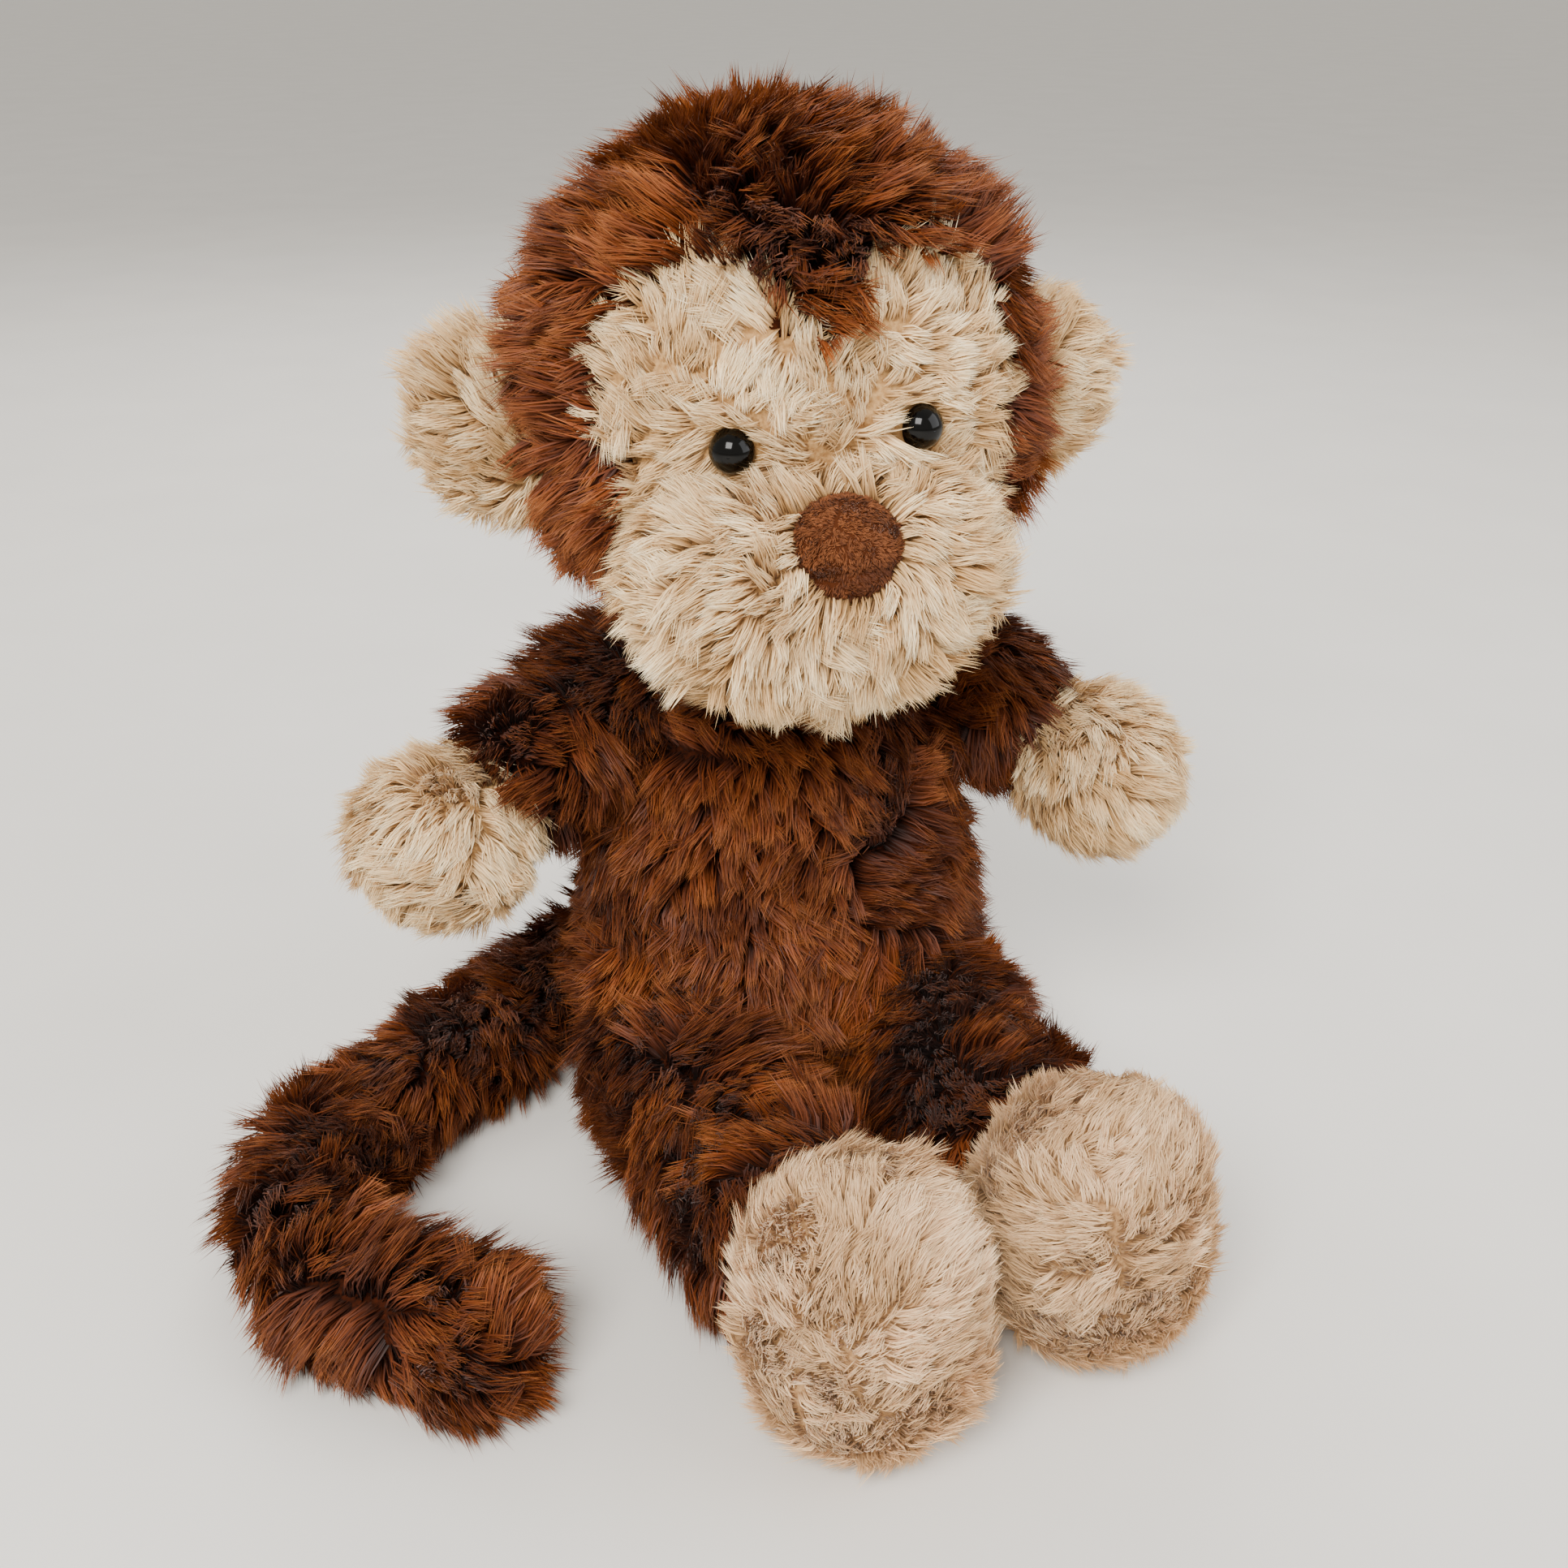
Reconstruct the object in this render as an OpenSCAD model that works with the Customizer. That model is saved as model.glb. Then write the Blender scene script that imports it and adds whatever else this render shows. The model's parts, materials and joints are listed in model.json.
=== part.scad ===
// Stuffed monkey, sitting with its legs out in front and its tail curled on its right.
// The seat's flat face lies on z = 0 with its centre at the origin. The monkey faces -Y, and its right side is -X.
// Every limb ends in a ball of stuffing that sits in a hollow of the piece it is sewn to, and turns about its centre.

/* [Torso] */
// Width of the belly
torso_w = 98; // [92:1:104]
// Depth of the belly, front to back
torso_d = 80; // [76:1:86]
// Height of the torso's top above the seat
torso_h = 127; // [124:1:128]
// Width of the flat seat
seat_w = 70; // [56:1:76]

/* [Head] */
// Diameter of the head
head_d = 110; // [104:1:112]
// Height of the middle of the head
head_z = 189; // [187:1:191]
// Turn of the head to its right, in degrees
head_turn = 6; // [0:1:12]
// Tilt of the head towards its right shoulder, in degrees
head_tilt = 4; // [0:1:6]
// Width of the muzzle
muzzle_w = 78; // [68:1:84]
// Height of the muzzle
muzzle_h = 50; // [44:1:52]
// Diameter of the nose pad
nose_d = 24; // [20:1:28]
// Diameter of the eyes
eye_d = 9.4; // [8:0.2:12]
// Distance between the middles of the eyes
eye_gap = 39; // [34:1:44]
// Diameter of the ears
ear_d = 40; // [34:1:44]
// Thickness of the ears
ear_t = 14; // [11:1:16]

/* [Limbs] */
// Diameter of the sleeves
arm_d = 30; // [28:1:31]
// Length of a sleeve from shoulder to wrist
arm_l = 38; // [36:1:42]
// Diameter of the hands
hand_d = 38; // [34:1:39]
// Diameter of the legs
leg_d = 41; // [39:1:42]
// Length of a leg from hip to ankle
leg_l = 78; // [76:1:84]
// Width of the feet
foot_w = 46; // [42:1:47]
// Height of the feet, heel to toe
foot_h = 60; // [54:1:64]
// Diameter of the tail
tail_d = 25; // [24:1:26]
// Length of the tail's straight stretch
tail_l = 72; // [64:1:80]

/* [Pose] */
// Turn of the right leg towards the left one, in degrees
right_leg_turn = 6; // [3:1:6]
// Turn of the left leg away from the right one, in degrees
left_leg_turn = 1; // [1:1:8]

/* [Fabric] */
// Thickness of the pile fabric
skin_t = 3; // [2:0.5:3]
// Gap between pieces that turn against each other
play = 0.6; // [0.4:0.1:0.8]
// Colour of the long pile
fur_colour = "#5b2c12"; // ["#5b2c12", "#3a2a20", "#8a5a2b"]
// Colour of the short pile
face_colour = "#cdb9a5"; // ["#cdb9a5", "#e3d7c4", "#b59c84"]

/* [Hidden] */
$fn = 48;

stuffing_colour = "#f1efe8";
pouch_colour = "#d8d2c2";
bead_colour = "#e9eef2";
nose_colour = "#6b3818";
eye_colour = "#111111";
thread_colour = "#3f1f0e";

RIGHT = -1;
LEFT = 1;
big = 400;
lining = 0.4; // gap between a skin and the ball of stuffing that turns inside it

// Torso: a belly and a chest, each an ellipsoid, and the flat seat.
belly_z = 40;
chest_z = 94;
chest_r = [0.84 * torso_w / 2, 0.9 * torso_d / 2, torso_h - chest_z];

// Bead pouch, lying on the seat's fabric: its middle, radius, height and upper rim's rounding, and its cloth.
pouch_y = 7;
pouch_r = 17;
pouch_h = 17;
pouch_round = 7;
pouch_t = 1;

// Closing seam
stitch_r = 0.5;
stitch_l = 5;
stitch_n = 6;
stitch_pitch = 5;
stitch_z = 52;
stitch_fit = 0.1;

// Neck
neck_at = [0, 1, 133];
neck_r = 15;
neck_thread_r = 0.7;
neck_thread_z = 129.5;

// Head: places are counted from its middle.
head_at = [0, -4, head_z];
head_r = head_d / 2;
brow_at = [24, -48, 12];
brow_r = 26;
cheek_at = [0, -46, -20];
cheek_r = 42;
muzzle_at = [0, -46, -34];
muzzle_r = muzzle_h / 2;
muzzle_half = muzzle_w / 2 - muzzle_r;
nose_r = nose_d / 2 + 0.5;
nose_lift = 27;
nose_out = 18.5;
eye_turn = asin(eye_gap / 2 / head_r);
eye_out = 0.2;
shank_r = 1.6;
shank_l = 11;
washer_r = 7;
washer_t = 1;
ear_at = [62, 1];
ear_z = [-3, -9];
ear_turn = 20;
ear_gap = 2.2;
ear_skin_t = 2;
ear_bow = (pow(ear_d / 2, 2) + pow(ear_t / 2, 2)) / ear_t;

// Arms: the shoulders, and the way each arm points.
arm_r = arm_d / 2;
shoulder_x = 38;
shoulder_z = 115;
arm_ways = [[-48, -17, -26], [42, -35, -26]];
wrist_r = 13;
wrist_gap = 6;
hand_r = hand_d / 2;
hand_out = 18;
arm_reach = 26;
arm_raise = [-10, 0, 30]; // turns that the arm's room in the torso is drawn for, in degrees
arm_swing = [-20, 0, 35];

// Legs: the hips, and what follows from them.
leg_r = leg_d / 2;
hip_x = 33;
hip_y = [-25, -15];
hip_r = leg_r - skin_t - lining;
knee_r = leg_r - skin_t;
knee_gap = 6.8;
ankle_r = 15.5;
ankle_gap = 5.8;
leg_lift = 0.5;
leg_turns = [right_leg_turn, left_leg_turn];
leg_reach = 34;
hip_spread = [0, 20]; // turns that the leg's room in the torso is drawn for, in degrees
hip_lift = [0, 25];

// Feet: a tall capsule in front of the ankle.
foot_r = foot_w / 2;
foot_half = foot_h / 2 - foot_r;
foot_out = 27;
foot_turns = [-8, 12];
foot_lean = 8;

// Tail: a chain of straight stretches and arcs on the floor, as [length, turn in degrees].
tail_r = tail_d / 2;
tail_core = tail_r - skin_t;
tail_root_r = tail_r + 0.5;
tail_ball_r = 10;
tail_gap = 4.6;
tail_mouth_r = 6;
tail_at = [0, 43, tail_root_r + 0.5];
tail_heading = 165;
tail_reach = 20;
tail_swing = [0, 15, 30]; // turns that the tail's room in the torso is drawn for, in degrees
tail_lift = [0, 15];
tail_chain = [[62, 55], [tail_l, 0], [76, 100], [20, 0]];

function side_index(side) = side < 0 ? 0 : 1;
function unit(v) = v / norm(v);
function flat_dir(angle) = [cos(angle), sin(angle), 0];
// Turn in degrees about the axes that takes +Z to the direction v.
function aim(v) = [0, acos(v.z / norm(v)), atan2(v.y, v.x)];

// An arm's direction, and the places of its shoulder and wrist.
function arm_dir(side) = unit(arm_ways[side_index(side)]);
function shoulder(side) = [side * shoulder_x, 2, shoulder_z];
function wrist(side) = shoulder(side) + arm_dir(side) * arm_l;

// A leg's direction, and the places of its hip, knee, ankle and foot.
function leg_dir(side) = flat_dir(-90 + leg_turns[side_index(side)]);
function hip(side) = [side * hip_x, hip_y[side_index(side)], leg_r + leg_lift];
function knee(side) = hip(side) + leg_dir(side) * leg_l / 2;
function ankle(side) = hip(side) + leg_dir(side) * leg_l;
function foot_middle(side) = ankle(side) + leg_dir(side) * foot_out + [0, 0, foot_h / 2 - leg_r];

// The tail's place and heading after its first n stretches.
function chain_heading(n) = n == 0 ? tail_heading : chain_heading(n - 1) + tail_chain[n - 1][1];
function bow_r(n) = tail_chain[n][0] / (tail_chain[n][1] * PI / 180);
function chain_step(n) = tail_chain[n][1] == 0
    ? tail_chain[n][0] * flat_dir(chain_heading(n))
    : bow_r(n) * (flat_dir(chain_heading(n + 1) - 90) - flat_dir(chain_heading(n) - 90));
function chain_at(n) = n == 0 ? tail_at : chain_at(n - 1) + chain_step(n - 1);

// ---------------------------------------------------------------- shapes

module ball(p, r) {
    translate(p) sphere(r);
}

// Places what it holds at p, with its +Z along v.
module along(p, v) {
    translate(p) rotate(aim(v)) children();
}

// All of space on the side of the point p that the direction v points to.
module beyond(p, v) {
    along(p, v) translate([-big / 2, -big / 2, 0]) cube(big);
}

// Keeps the half of an outline that can be turned about the Y axis.
module right_half() {
    intersection() {
        children();
        translate([0, -big / 2]) square(big);
    }
}

// Outline of a straight stretch of limb, for turning: a ball of radius b at its start, and a tube of radius r
// from there to the length run. The tube starts after gap where the ball is the smaller one. Drawn in by t.
module limb_outline(b, r, gap, run, t) {
    start = gap == 0 ? 0 : gap + t;
    right_half() circle(b - t);
    translate([0, start]) square([r - t, run - start]);
}

// ---------------------------------------------------------------- torso

// The torso's outer form, drawn in by t on every side.
module torso_form(t) {
    $fn = 32;
    hull() {
        translate([0, 0, belly_z]) scale([torso_w / 2 - t, torso_d / 2 - t, belly_z - t]) sphere(1);
        translate([0, 0, chest_z]) scale([chest_r.x - t, chest_r.y - t, chest_r.z - t]) sphere(1);
        translate([0, 0, t]) scale([1, torso_d / torso_w, 1]) cylinder(h = 1, r = seat_w / 2 - t);
    }
}

// The room that a limb of radius r takes from its seam, where it points along v, over its whole travel.
// It turns about the second axis first, and then about the first one.
module sweep(at, v, r, reach, axis_1, turns_1, axis_2, turns_2) {
    $fn = 32;
    translate(at) hull() {
        sphere(r);
        for (a = turns_1) rotate(a, axis_1) for (b = turns_2) rotate(b, axis_2) translate(v * reach) sphere(r);
    }
}

// The hollows in the torso that the neck, arms, legs and tail are sewn into.
module torso_hollows() {
    ball(neck_at, neck_r + play);
    for (side = [RIGHT, LEFT]) {
        sweep(shoulder(side), arm_dir(side), arm_r + play, arm_reach,
            [0, -side, 0], arm_raise, [-1, 0, 0], arm_swing);
        sweep(hip(side), leg_dir(side), leg_r + play, leg_reach,
            [0, 0, side], hip_spread, cross(leg_dir(side), [0, 0, 1]), hip_lift);
    }
    sweep(tail_at, flat_dir(tail_heading), tail_root_r + play, tail_reach,
        [0, 0, -1], tail_swing, cross(flat_dir(tail_heading), [0, 0, 1]), tail_lift);
}

// One half of the torso's skin, on the side that the direction v points away from.
module torso_half(v) {
    color(fur_colour) difference() {
        torso_form(0);
        torso_form(skin_t);
        torso_hollows();
        beyond([0, 0, 0], v);
        closing_stitches(stitch_fit);
    }
}

module torso_front() {
    torso_half([0, 1, 0]);
}

module torso_back() {
    torso_half([0, -1, 0]);
}

module torso_stuffing() {
    color(stuffing_colour) difference() {
        torso_form(skin_t);
        pouch_form(0, skin_t);
        torso_hollows();
    }
}

// The bead pouch: a flat round bag with a rounded upper rim, drawn in by t and reaching lower by drop.
module pouch_form(t, drop) {
    r = pouch_r - t;
    h = pouch_h - 2 * t;
    rim = pouch_round - t;
    translate([0, pouch_y, skin_t + t]) rotate_extrude() {
        translate([0, -drop]) square([r, h - rim + drop]);
        square([r - rim, h]);
        translate([r - rim, h - rim]) right_half() circle(rim);
    }
}

module seat_bead_pouch() {
    color(pouch_colour) difference() {
        pouch_form(0, 0);
        pouch_form(pouch_t, 0);
    }
}

module seat_beads() {
    color(bead_colour) pouch_form(pouch_t, 0);
}

// The ladder stitches that close the left side seam after filling, widened by t.
module closing_stitches(t) {
    for (i = [0 : stitch_n - 1])
        translate([torso_w / 2 - 2, 0, stitch_z + i * stitch_pitch])
            rotate([90, 0, 0]) cylinder(h = stitch_l + 2 * t, r = stitch_r + t, center = true, $fn = 16);
}

module closing_thread() {
    color(thread_colour) closing_stitches(0);
}

// ---------------------------------------------------------------- neck

module neck_stuffing() {
    color(stuffing_colour) ball(neck_at, neck_r);
}

module neck_thread() {
    color(thread_colour) translate([neck_at.x, neck_at.y, neck_thread_z])
        rotate_extrude() translate([neck_r + neck_thread_r, 0]) circle(neck_thread_r, $fn = 16);
}

// ---------------------------------------------------------------- head

// Places what it holds on the head, whose middle is the origin inside.
module on_head() {
    translate(head_at) rotate([0, -head_tilt, -head_turn]) children();
}

// The pale part of the head: two brows over one broad cheek.
module face_area() {
    for (side = [RIGHT, LEFT]) ball([side * brow_at.x, brow_at.y, brow_at.z], brow_r);
    ball(cheek_at, cheek_r);
}

module head_skin(side) {
    color(fur_colour) difference() {
        on_head() rotate([0, 0, -side * 90]) rotate_extrude(angle = 180)
            right_half() difference() {
                circle(head_r);
                circle(head_r - skin_t);
            }
        on_head() face_area();
        ball(neck_at, neck_r + play);
    }
}

// Places what it holds at the middle of the head with +Z out through the eye on one side.
module at_eye(side) {
    on_head() rotate([90, 0, side * eye_turn]) children();
}

module eye(side) {
    color(eye_colour) at_eye(side) {
        difference() {
            translate([0, 0, head_r + eye_out]) sphere(eye_d / 2);
            translate([0, 0, head_r + eye_out - eye_d]) cylinder(h = eye_d, r = eye_d);
        }
        translate([0, 0, head_r + eye_out - shank_l]) cylinder(h = shank_l + 1, r = shank_r, $fn = 24);
    }
}

module eye_washer(side) {
    color(eye_colour) at_eye(side) difference() {
        translate([0, 0, head_r - skin_t - 0.6 - washer_t]) cylinder(h = washer_t, r = washer_r);
        translate([0, 0, head_r - skin_t - 2 - washer_t]) cylinder(h = 4, r = shank_r + 0.05, $fn = 24);
    }
}

// The room in the head's stuffing for an eye's shank and washer.
module eye_room(side) {
    at_eye(side) {
        translate([0, 0, head_r - shank_l - 1]) cylinder(h = shank_l + 4, r = shank_r + 0.1, $fn = 24);
        translate([0, 0, head_r - skin_t - washer_t - 1]) cylinder(h = washer_t + 2, r = washer_r + 0.3);
    }
}

module face_mask() {
    color(face_colour) difference() {
        intersection() {
            on_head() sphere(head_r);
            on_head() face_area();
        }
        on_head() sphere(head_r - skin_t);
        ball(neck_at, neck_r + play);
        for (side = [RIGHT, LEFT])
            at_eye(side) translate([0, 0, head_r - 8]) cylinder(h = 12, r = shank_r + 0.1, $fn = 24);
    }
}

module head_stuffing() {
    color(stuffing_colour) difference() {
        on_head() sphere(head_r - skin_t);
        ball(neck_at, neck_r + play);
        for (side = [RIGHT, LEFT]) eye_room(side);
    }
}

// The muzzle: a short bolster across the face, drawn in by t.
module muzzle_form(t) {
    on_head() translate(muzzle_at - [muzzle_half, 0, 0]) rotate([0, 90, 0]) rotate_extrude() {
        for (run = [0, 2 * muzzle_half]) right_half() translate([0, run]) circle(muzzle_r - t);
        square([muzzle_r - t, 2 * muzzle_half]);
    }
}

module muzzle() {
    color(face_colour) difference() {
        muzzle_form(0);
        muzzle_form(skin_t);
        on_head() sphere(head_r);
    }
}

module muzzle_stuffing() {
    color(stuffing_colour) difference() {
        muzzle_form(skin_t);
        on_head() sphere(head_r);
    }
}

module nose() {
    color(nose_colour) difference() {
        on_head() ball(muzzle_at + nose_out * [0, -cos(nose_lift), sin(nose_lift)], nose_r);
        muzzle_form(0);
    }
}

// ---------------------------------------------------------------- ears

function ear_place(side) = [side * ear_at.x, ear_at.y, ear_z[side_index(side)]];

// The ear's lens, drawn in by t, cut off a little way from the head.
module ear_form(side, t) {
    difference() {
        translate(ear_place(side)) rotate([90, 0, side * ear_turn])
            intersection() {
                translate([0, 0, ear_t / 2 - ear_bow]) sphere(ear_bow - t);
                translate([0, 0, ear_bow - ear_t / 2]) sphere(ear_bow - t);
            }
        sphere(head_r + ear_gap + t);
    }
}

module ear_half(side, facing) {
    color(face_colour) on_head() difference() {
        ear_form(side, 0);
        ear_form(side, ear_skin_t);
        beyond(ear_place(side),
            facing * [-side * sin(ear_turn), cos(ear_turn), 0]);
    }
}

module ear_stuffing(side) {
    color(stuffing_colour) on_head() ear_form(side, ear_skin_t);
}

// ---------------------------------------------------------------- arms

module shoulder_stuffing(side) {
    color(stuffing_colour) ball(shoulder(side), arm_r - skin_t - lining);
}

module sleeve(side) {
    color(fur_colour) along(shoulder(side), arm_dir(side)) rotate_extrude() difference() {
        limb_outline(arm_r, arm_r, 0, arm_l - wrist_gap, 0);
        limb_outline(arm_r, arm_r, 0, arm_l, skin_t);
        translate([0, arm_l]) circle(wrist_r + play);
    }
}

module arm_stuffing(side) {
    color(stuffing_colour) along(shoulder(side), arm_dir(side)) rotate_extrude() right_half() difference() {
        square([arm_r - skin_t, arm_l - wrist_gap]);
        circle(arm_r - skin_t);
        translate([0, arm_l]) circle(wrist_r + play);
    }
}

// Outline of a hand, for turning: a ball at the wrist and a mitten beyond it, drawn in by t.
module hand_outline(t) {
    right_half() {
        circle(wrist_r - t);
        translate([0, hand_out]) circle(hand_r - t);
    }
}

// One of a hand's two panels: the back of the hand above the seam, or the palm below it.
module hand_half(side, spin) {
    color(face_colour) along(wrist(side), arm_dir(side)) rotate([0, 0, spin]) rotate_extrude(angle = 180)
        difference() {
            hand_outline(0);
            hand_outline(skin_t);
        }
}

module hand_back(side) {
    hand_half(side, 90);
}

module hand_palm(side) {
    hand_half(side, -90);
}

module hand_stuffing(side) {
    color(stuffing_colour) along(wrist(side), arm_dir(side)) rotate_extrude() hand_outline(skin_t);
}

// ---------------------------------------------------------------- legs

module hip_stuffing(side) {
    color(stuffing_colour) ball(hip(side), hip_r);
}

module thigh(side) {
    run = leg_l / 2;
    color(fur_colour) along(hip(side), leg_dir(side)) rotate_extrude() difference() {
        limb_outline(leg_r, leg_r, 0, run - knee_gap, 0);
        limb_outline(leg_r, leg_r, 0, run, skin_t);
        translate([0, run]) circle(knee_r + play);
    }
}

module thigh_stuffing(side) {
    run = leg_l / 2;
    color(stuffing_colour) along(hip(side), leg_dir(side)) rotate_extrude() right_half() difference() {
        square([leg_r - skin_t, run - knee_gap]);
        circle(leg_r - skin_t);
        translate([0, run]) circle(knee_r + play);
    }
}

module shin(side) {
    run = leg_l / 2;
    color(fur_colour) along(knee(side), leg_dir(side)) rotate_extrude() difference() {
        limb_outline(knee_r, leg_r, knee_gap, run - ankle_gap, 0);
        limb_outline(knee_r, leg_r, knee_gap, run, skin_t);
        translate([0, run]) circle(ankle_r + play);
    }
}

module shin_stuffing(side) {
    run = leg_l / 2;
    color(stuffing_colour) along(knee(side), leg_dir(side)) rotate_extrude() difference() {
        limb_outline(knee_r, leg_r, knee_gap, run - ankle_gap, skin_t);
        translate([0, run]) circle(ankle_r + play);
    }
}

// Places what it holds in the middle of a foot, with +Z up to the toe and -Y out through the sole.
module on_foot(side) {
    i = side_index(side);
    translate(foot_middle(side)) rotate([-foot_lean, 0, leg_turns[i] + foot_turns[i]]) children();
}

// Outline of a foot, for turning about its length, drawn in by t.
module foot_outline(t) {
    right_half() {
        for (end = [-foot_half, foot_half]) translate([0, end]) circle(foot_r - t);
        translate([0, -foot_half]) square([foot_r - t, 2 * foot_half]);
    }
}

module foot_sole(side) {
    color(face_colour) on_foot(side) rotate([0, 0, 180]) rotate_extrude(angle = 180) difference() {
        foot_outline(0);
        foot_outline(skin_t);
    }
}

module foot_upper(side) {
    color(face_colour) difference() {
        union() {
            on_foot(side) rotate_extrude(angle = 180) foot_outline(0);
            ball(ankle(side), ankle_r);
        }
        foot_stuffing_form(side);
    }
}

module foot_stuffing_form(side) {
    on_foot(side) rotate_extrude() foot_outline(skin_t);
    ball(ankle(side), ankle_r - skin_t);
}

module foot_stuffing(side) {
    color(stuffing_colour) foot_stuffing_form(side);
}

// ---------------------------------------------------------------- tail

// Stretch n of the tail's chain as a tube, from the length a to the length b along it.
module stretch(n, a, b) {
    bend = tail_chain[n][1];
    degrees = bend / tail_chain[n][0];
    if (bend == 0)
        along(chain_at(n) + a * flat_dir(chain_heading(n)), flat_dir(chain_heading(n)))
            cylinder(h = b - a, r = tail_r);
    else
        translate(chain_at(n) + bow_r(n) * flat_dir(chain_heading(n) + 90))
            rotate([0, 0, chain_heading(n) - 90 + a * degrees])
                rotate_extrude(angle = (b - a) * degrees) translate([bow_r(n), 0]) circle(tail_r);
}

// A middle stretch of tail: a ball that turns in the piece before it, and room for the next ball.
module tail_piece(n) {
    color(fur_colour) difference() {
        union() {
            ball(chain_at(n), tail_ball_r);
            stretch(n, tail_gap, tail_chain[n][0] - tail_gap);
        }
        ball(chain_at(n + 1), tail_ball_r + play);
    }
}

module tail_tip() {
    run = tail_chain[3][0];
    color(fur_colour) along(chain_at(3), flat_dir(chain_heading(3))) rotate_extrude() right_half() {
        circle(tail_ball_r);
        translate([0, tail_gap]) square([tail_r, run - tail_gap]);
        translate([0, run]) circle(tail_r);
    }
}

module tail_root() {
    color(fur_colour) difference() {
        union() {
            ball(tail_at, tail_root_r);
            stretch(0, 0, tail_chain[0][0] - tail_gap);
        }
        ball(tail_at, tail_core);
        along(tail_at, -flat_dir(tail_heading)) cylinder(h = 2 * tail_r, r = tail_mouth_r);
        ball(chain_at(1), tail_ball_r + play);
    }
}

module tail_root_stuffing() {
    color(stuffing_colour) ball(tail_at, tail_core - lining);
}

// ---------------------------------------------------------------- nodes

torso_front();
torso_back();
torso_stuffing();
seat_bead_pouch();
seat_beads();
closing_thread();
neck_stuffing();
neck_thread();
head_skin(RIGHT);  // head_skin_right
head_skin(LEFT);  // head_skin_left
face_mask();
muzzle();
nose();
head_stuffing();
muzzle_stuffing();
eye(RIGHT);  // eye_right
eye(LEFT);  // eye_left
eye_washer(RIGHT);  // eye_washer_right
eye_washer(LEFT);  // eye_washer_left
ear_half(RIGHT, 1);  // ear_front_right
ear_half(RIGHT, -1);  // ear_back_right
ear_stuffing(RIGHT);  // ear_stuffing_right
ear_half(LEFT, 1);  // ear_front_left
ear_half(LEFT, -1);  // ear_back_left
ear_stuffing(LEFT);  // ear_stuffing_left
shoulder_stuffing(RIGHT);  // shoulder_stuffing_right
sleeve(RIGHT);  // sleeve_right
arm_stuffing(RIGHT);  // arm_stuffing_right
hand_back(RIGHT);  // hand_back_right
hand_palm(RIGHT);  // hand_palm_right
hand_stuffing(RIGHT);  // hand_stuffing_right
shoulder_stuffing(LEFT);  // shoulder_stuffing_left
sleeve(LEFT);  // sleeve_left
arm_stuffing(LEFT);  // arm_stuffing_left
hand_back(LEFT);  // hand_back_left
hand_palm(LEFT);  // hand_palm_left
hand_stuffing(LEFT);  // hand_stuffing_left
hip_stuffing(RIGHT);  // hip_stuffing_right
thigh(RIGHT);  // thigh_right
thigh_stuffing(RIGHT);  // thigh_stuffing_right
shin(RIGHT);  // shin_right
shin_stuffing(RIGHT);  // shin_stuffing_right
foot_upper(RIGHT);  // foot_upper_right
foot_sole(RIGHT);  // foot_sole_right
foot_stuffing(RIGHT);  // foot_stuffing_right
hip_stuffing(LEFT);  // hip_stuffing_left
thigh(LEFT);  // thigh_left
thigh_stuffing(LEFT);  // thigh_stuffing_left
shin(LEFT);  // shin_left
shin_stuffing(LEFT);  // shin_stuffing_left
foot_upper(LEFT);  // foot_upper_left
foot_sole(LEFT);  // foot_sole_left
foot_stuffing(LEFT);  // foot_stuffing_left
tail_root_stuffing();
tail_root();
tail_piece(1);  // tail_fore
tail_piece(2);  // tail_bend
tail_tip();
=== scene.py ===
"""A seated plush monkey: soft stuffed skins, combed pile and small fittings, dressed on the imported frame.

Lengths inside this file are millimetres until a mesh is written, because a pile is thought of in millimetres.
"""

import json
import logging
import math
from collections.abc import Callable, Sequence
from dataclasses import dataclass, field, replace
from enum import Enum

import bpy
import numpy as np
from mathutils import Euler, Matrix, Vector
from mathutils.kdtree import KDTree

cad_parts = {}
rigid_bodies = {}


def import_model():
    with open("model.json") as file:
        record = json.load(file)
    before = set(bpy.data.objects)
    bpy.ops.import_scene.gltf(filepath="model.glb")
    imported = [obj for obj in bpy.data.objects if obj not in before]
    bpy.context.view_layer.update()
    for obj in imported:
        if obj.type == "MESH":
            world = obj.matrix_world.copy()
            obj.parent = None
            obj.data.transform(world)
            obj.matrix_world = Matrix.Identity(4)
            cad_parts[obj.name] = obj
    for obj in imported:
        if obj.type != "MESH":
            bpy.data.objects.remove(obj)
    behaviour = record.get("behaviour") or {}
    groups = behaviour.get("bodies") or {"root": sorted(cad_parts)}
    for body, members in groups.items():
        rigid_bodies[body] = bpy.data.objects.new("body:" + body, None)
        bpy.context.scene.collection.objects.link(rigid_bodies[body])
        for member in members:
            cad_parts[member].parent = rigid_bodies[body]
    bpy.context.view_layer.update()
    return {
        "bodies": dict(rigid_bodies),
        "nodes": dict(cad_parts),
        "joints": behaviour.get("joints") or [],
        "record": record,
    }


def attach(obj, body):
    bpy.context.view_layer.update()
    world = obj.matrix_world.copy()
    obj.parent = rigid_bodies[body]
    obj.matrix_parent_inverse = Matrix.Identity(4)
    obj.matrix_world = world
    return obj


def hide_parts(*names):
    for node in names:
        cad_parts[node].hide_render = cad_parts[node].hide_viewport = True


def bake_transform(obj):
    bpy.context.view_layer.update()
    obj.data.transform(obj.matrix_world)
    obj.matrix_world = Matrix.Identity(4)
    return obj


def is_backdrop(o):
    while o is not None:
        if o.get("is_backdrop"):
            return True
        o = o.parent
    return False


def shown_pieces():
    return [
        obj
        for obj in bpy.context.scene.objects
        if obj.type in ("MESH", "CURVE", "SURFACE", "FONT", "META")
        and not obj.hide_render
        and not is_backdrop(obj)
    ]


LOG = logging.getLogger("monkey")
MM = 0.001
GROUND_GAP = 0.35
TRIANGLES_PER_PIECE = 190_000
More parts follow.
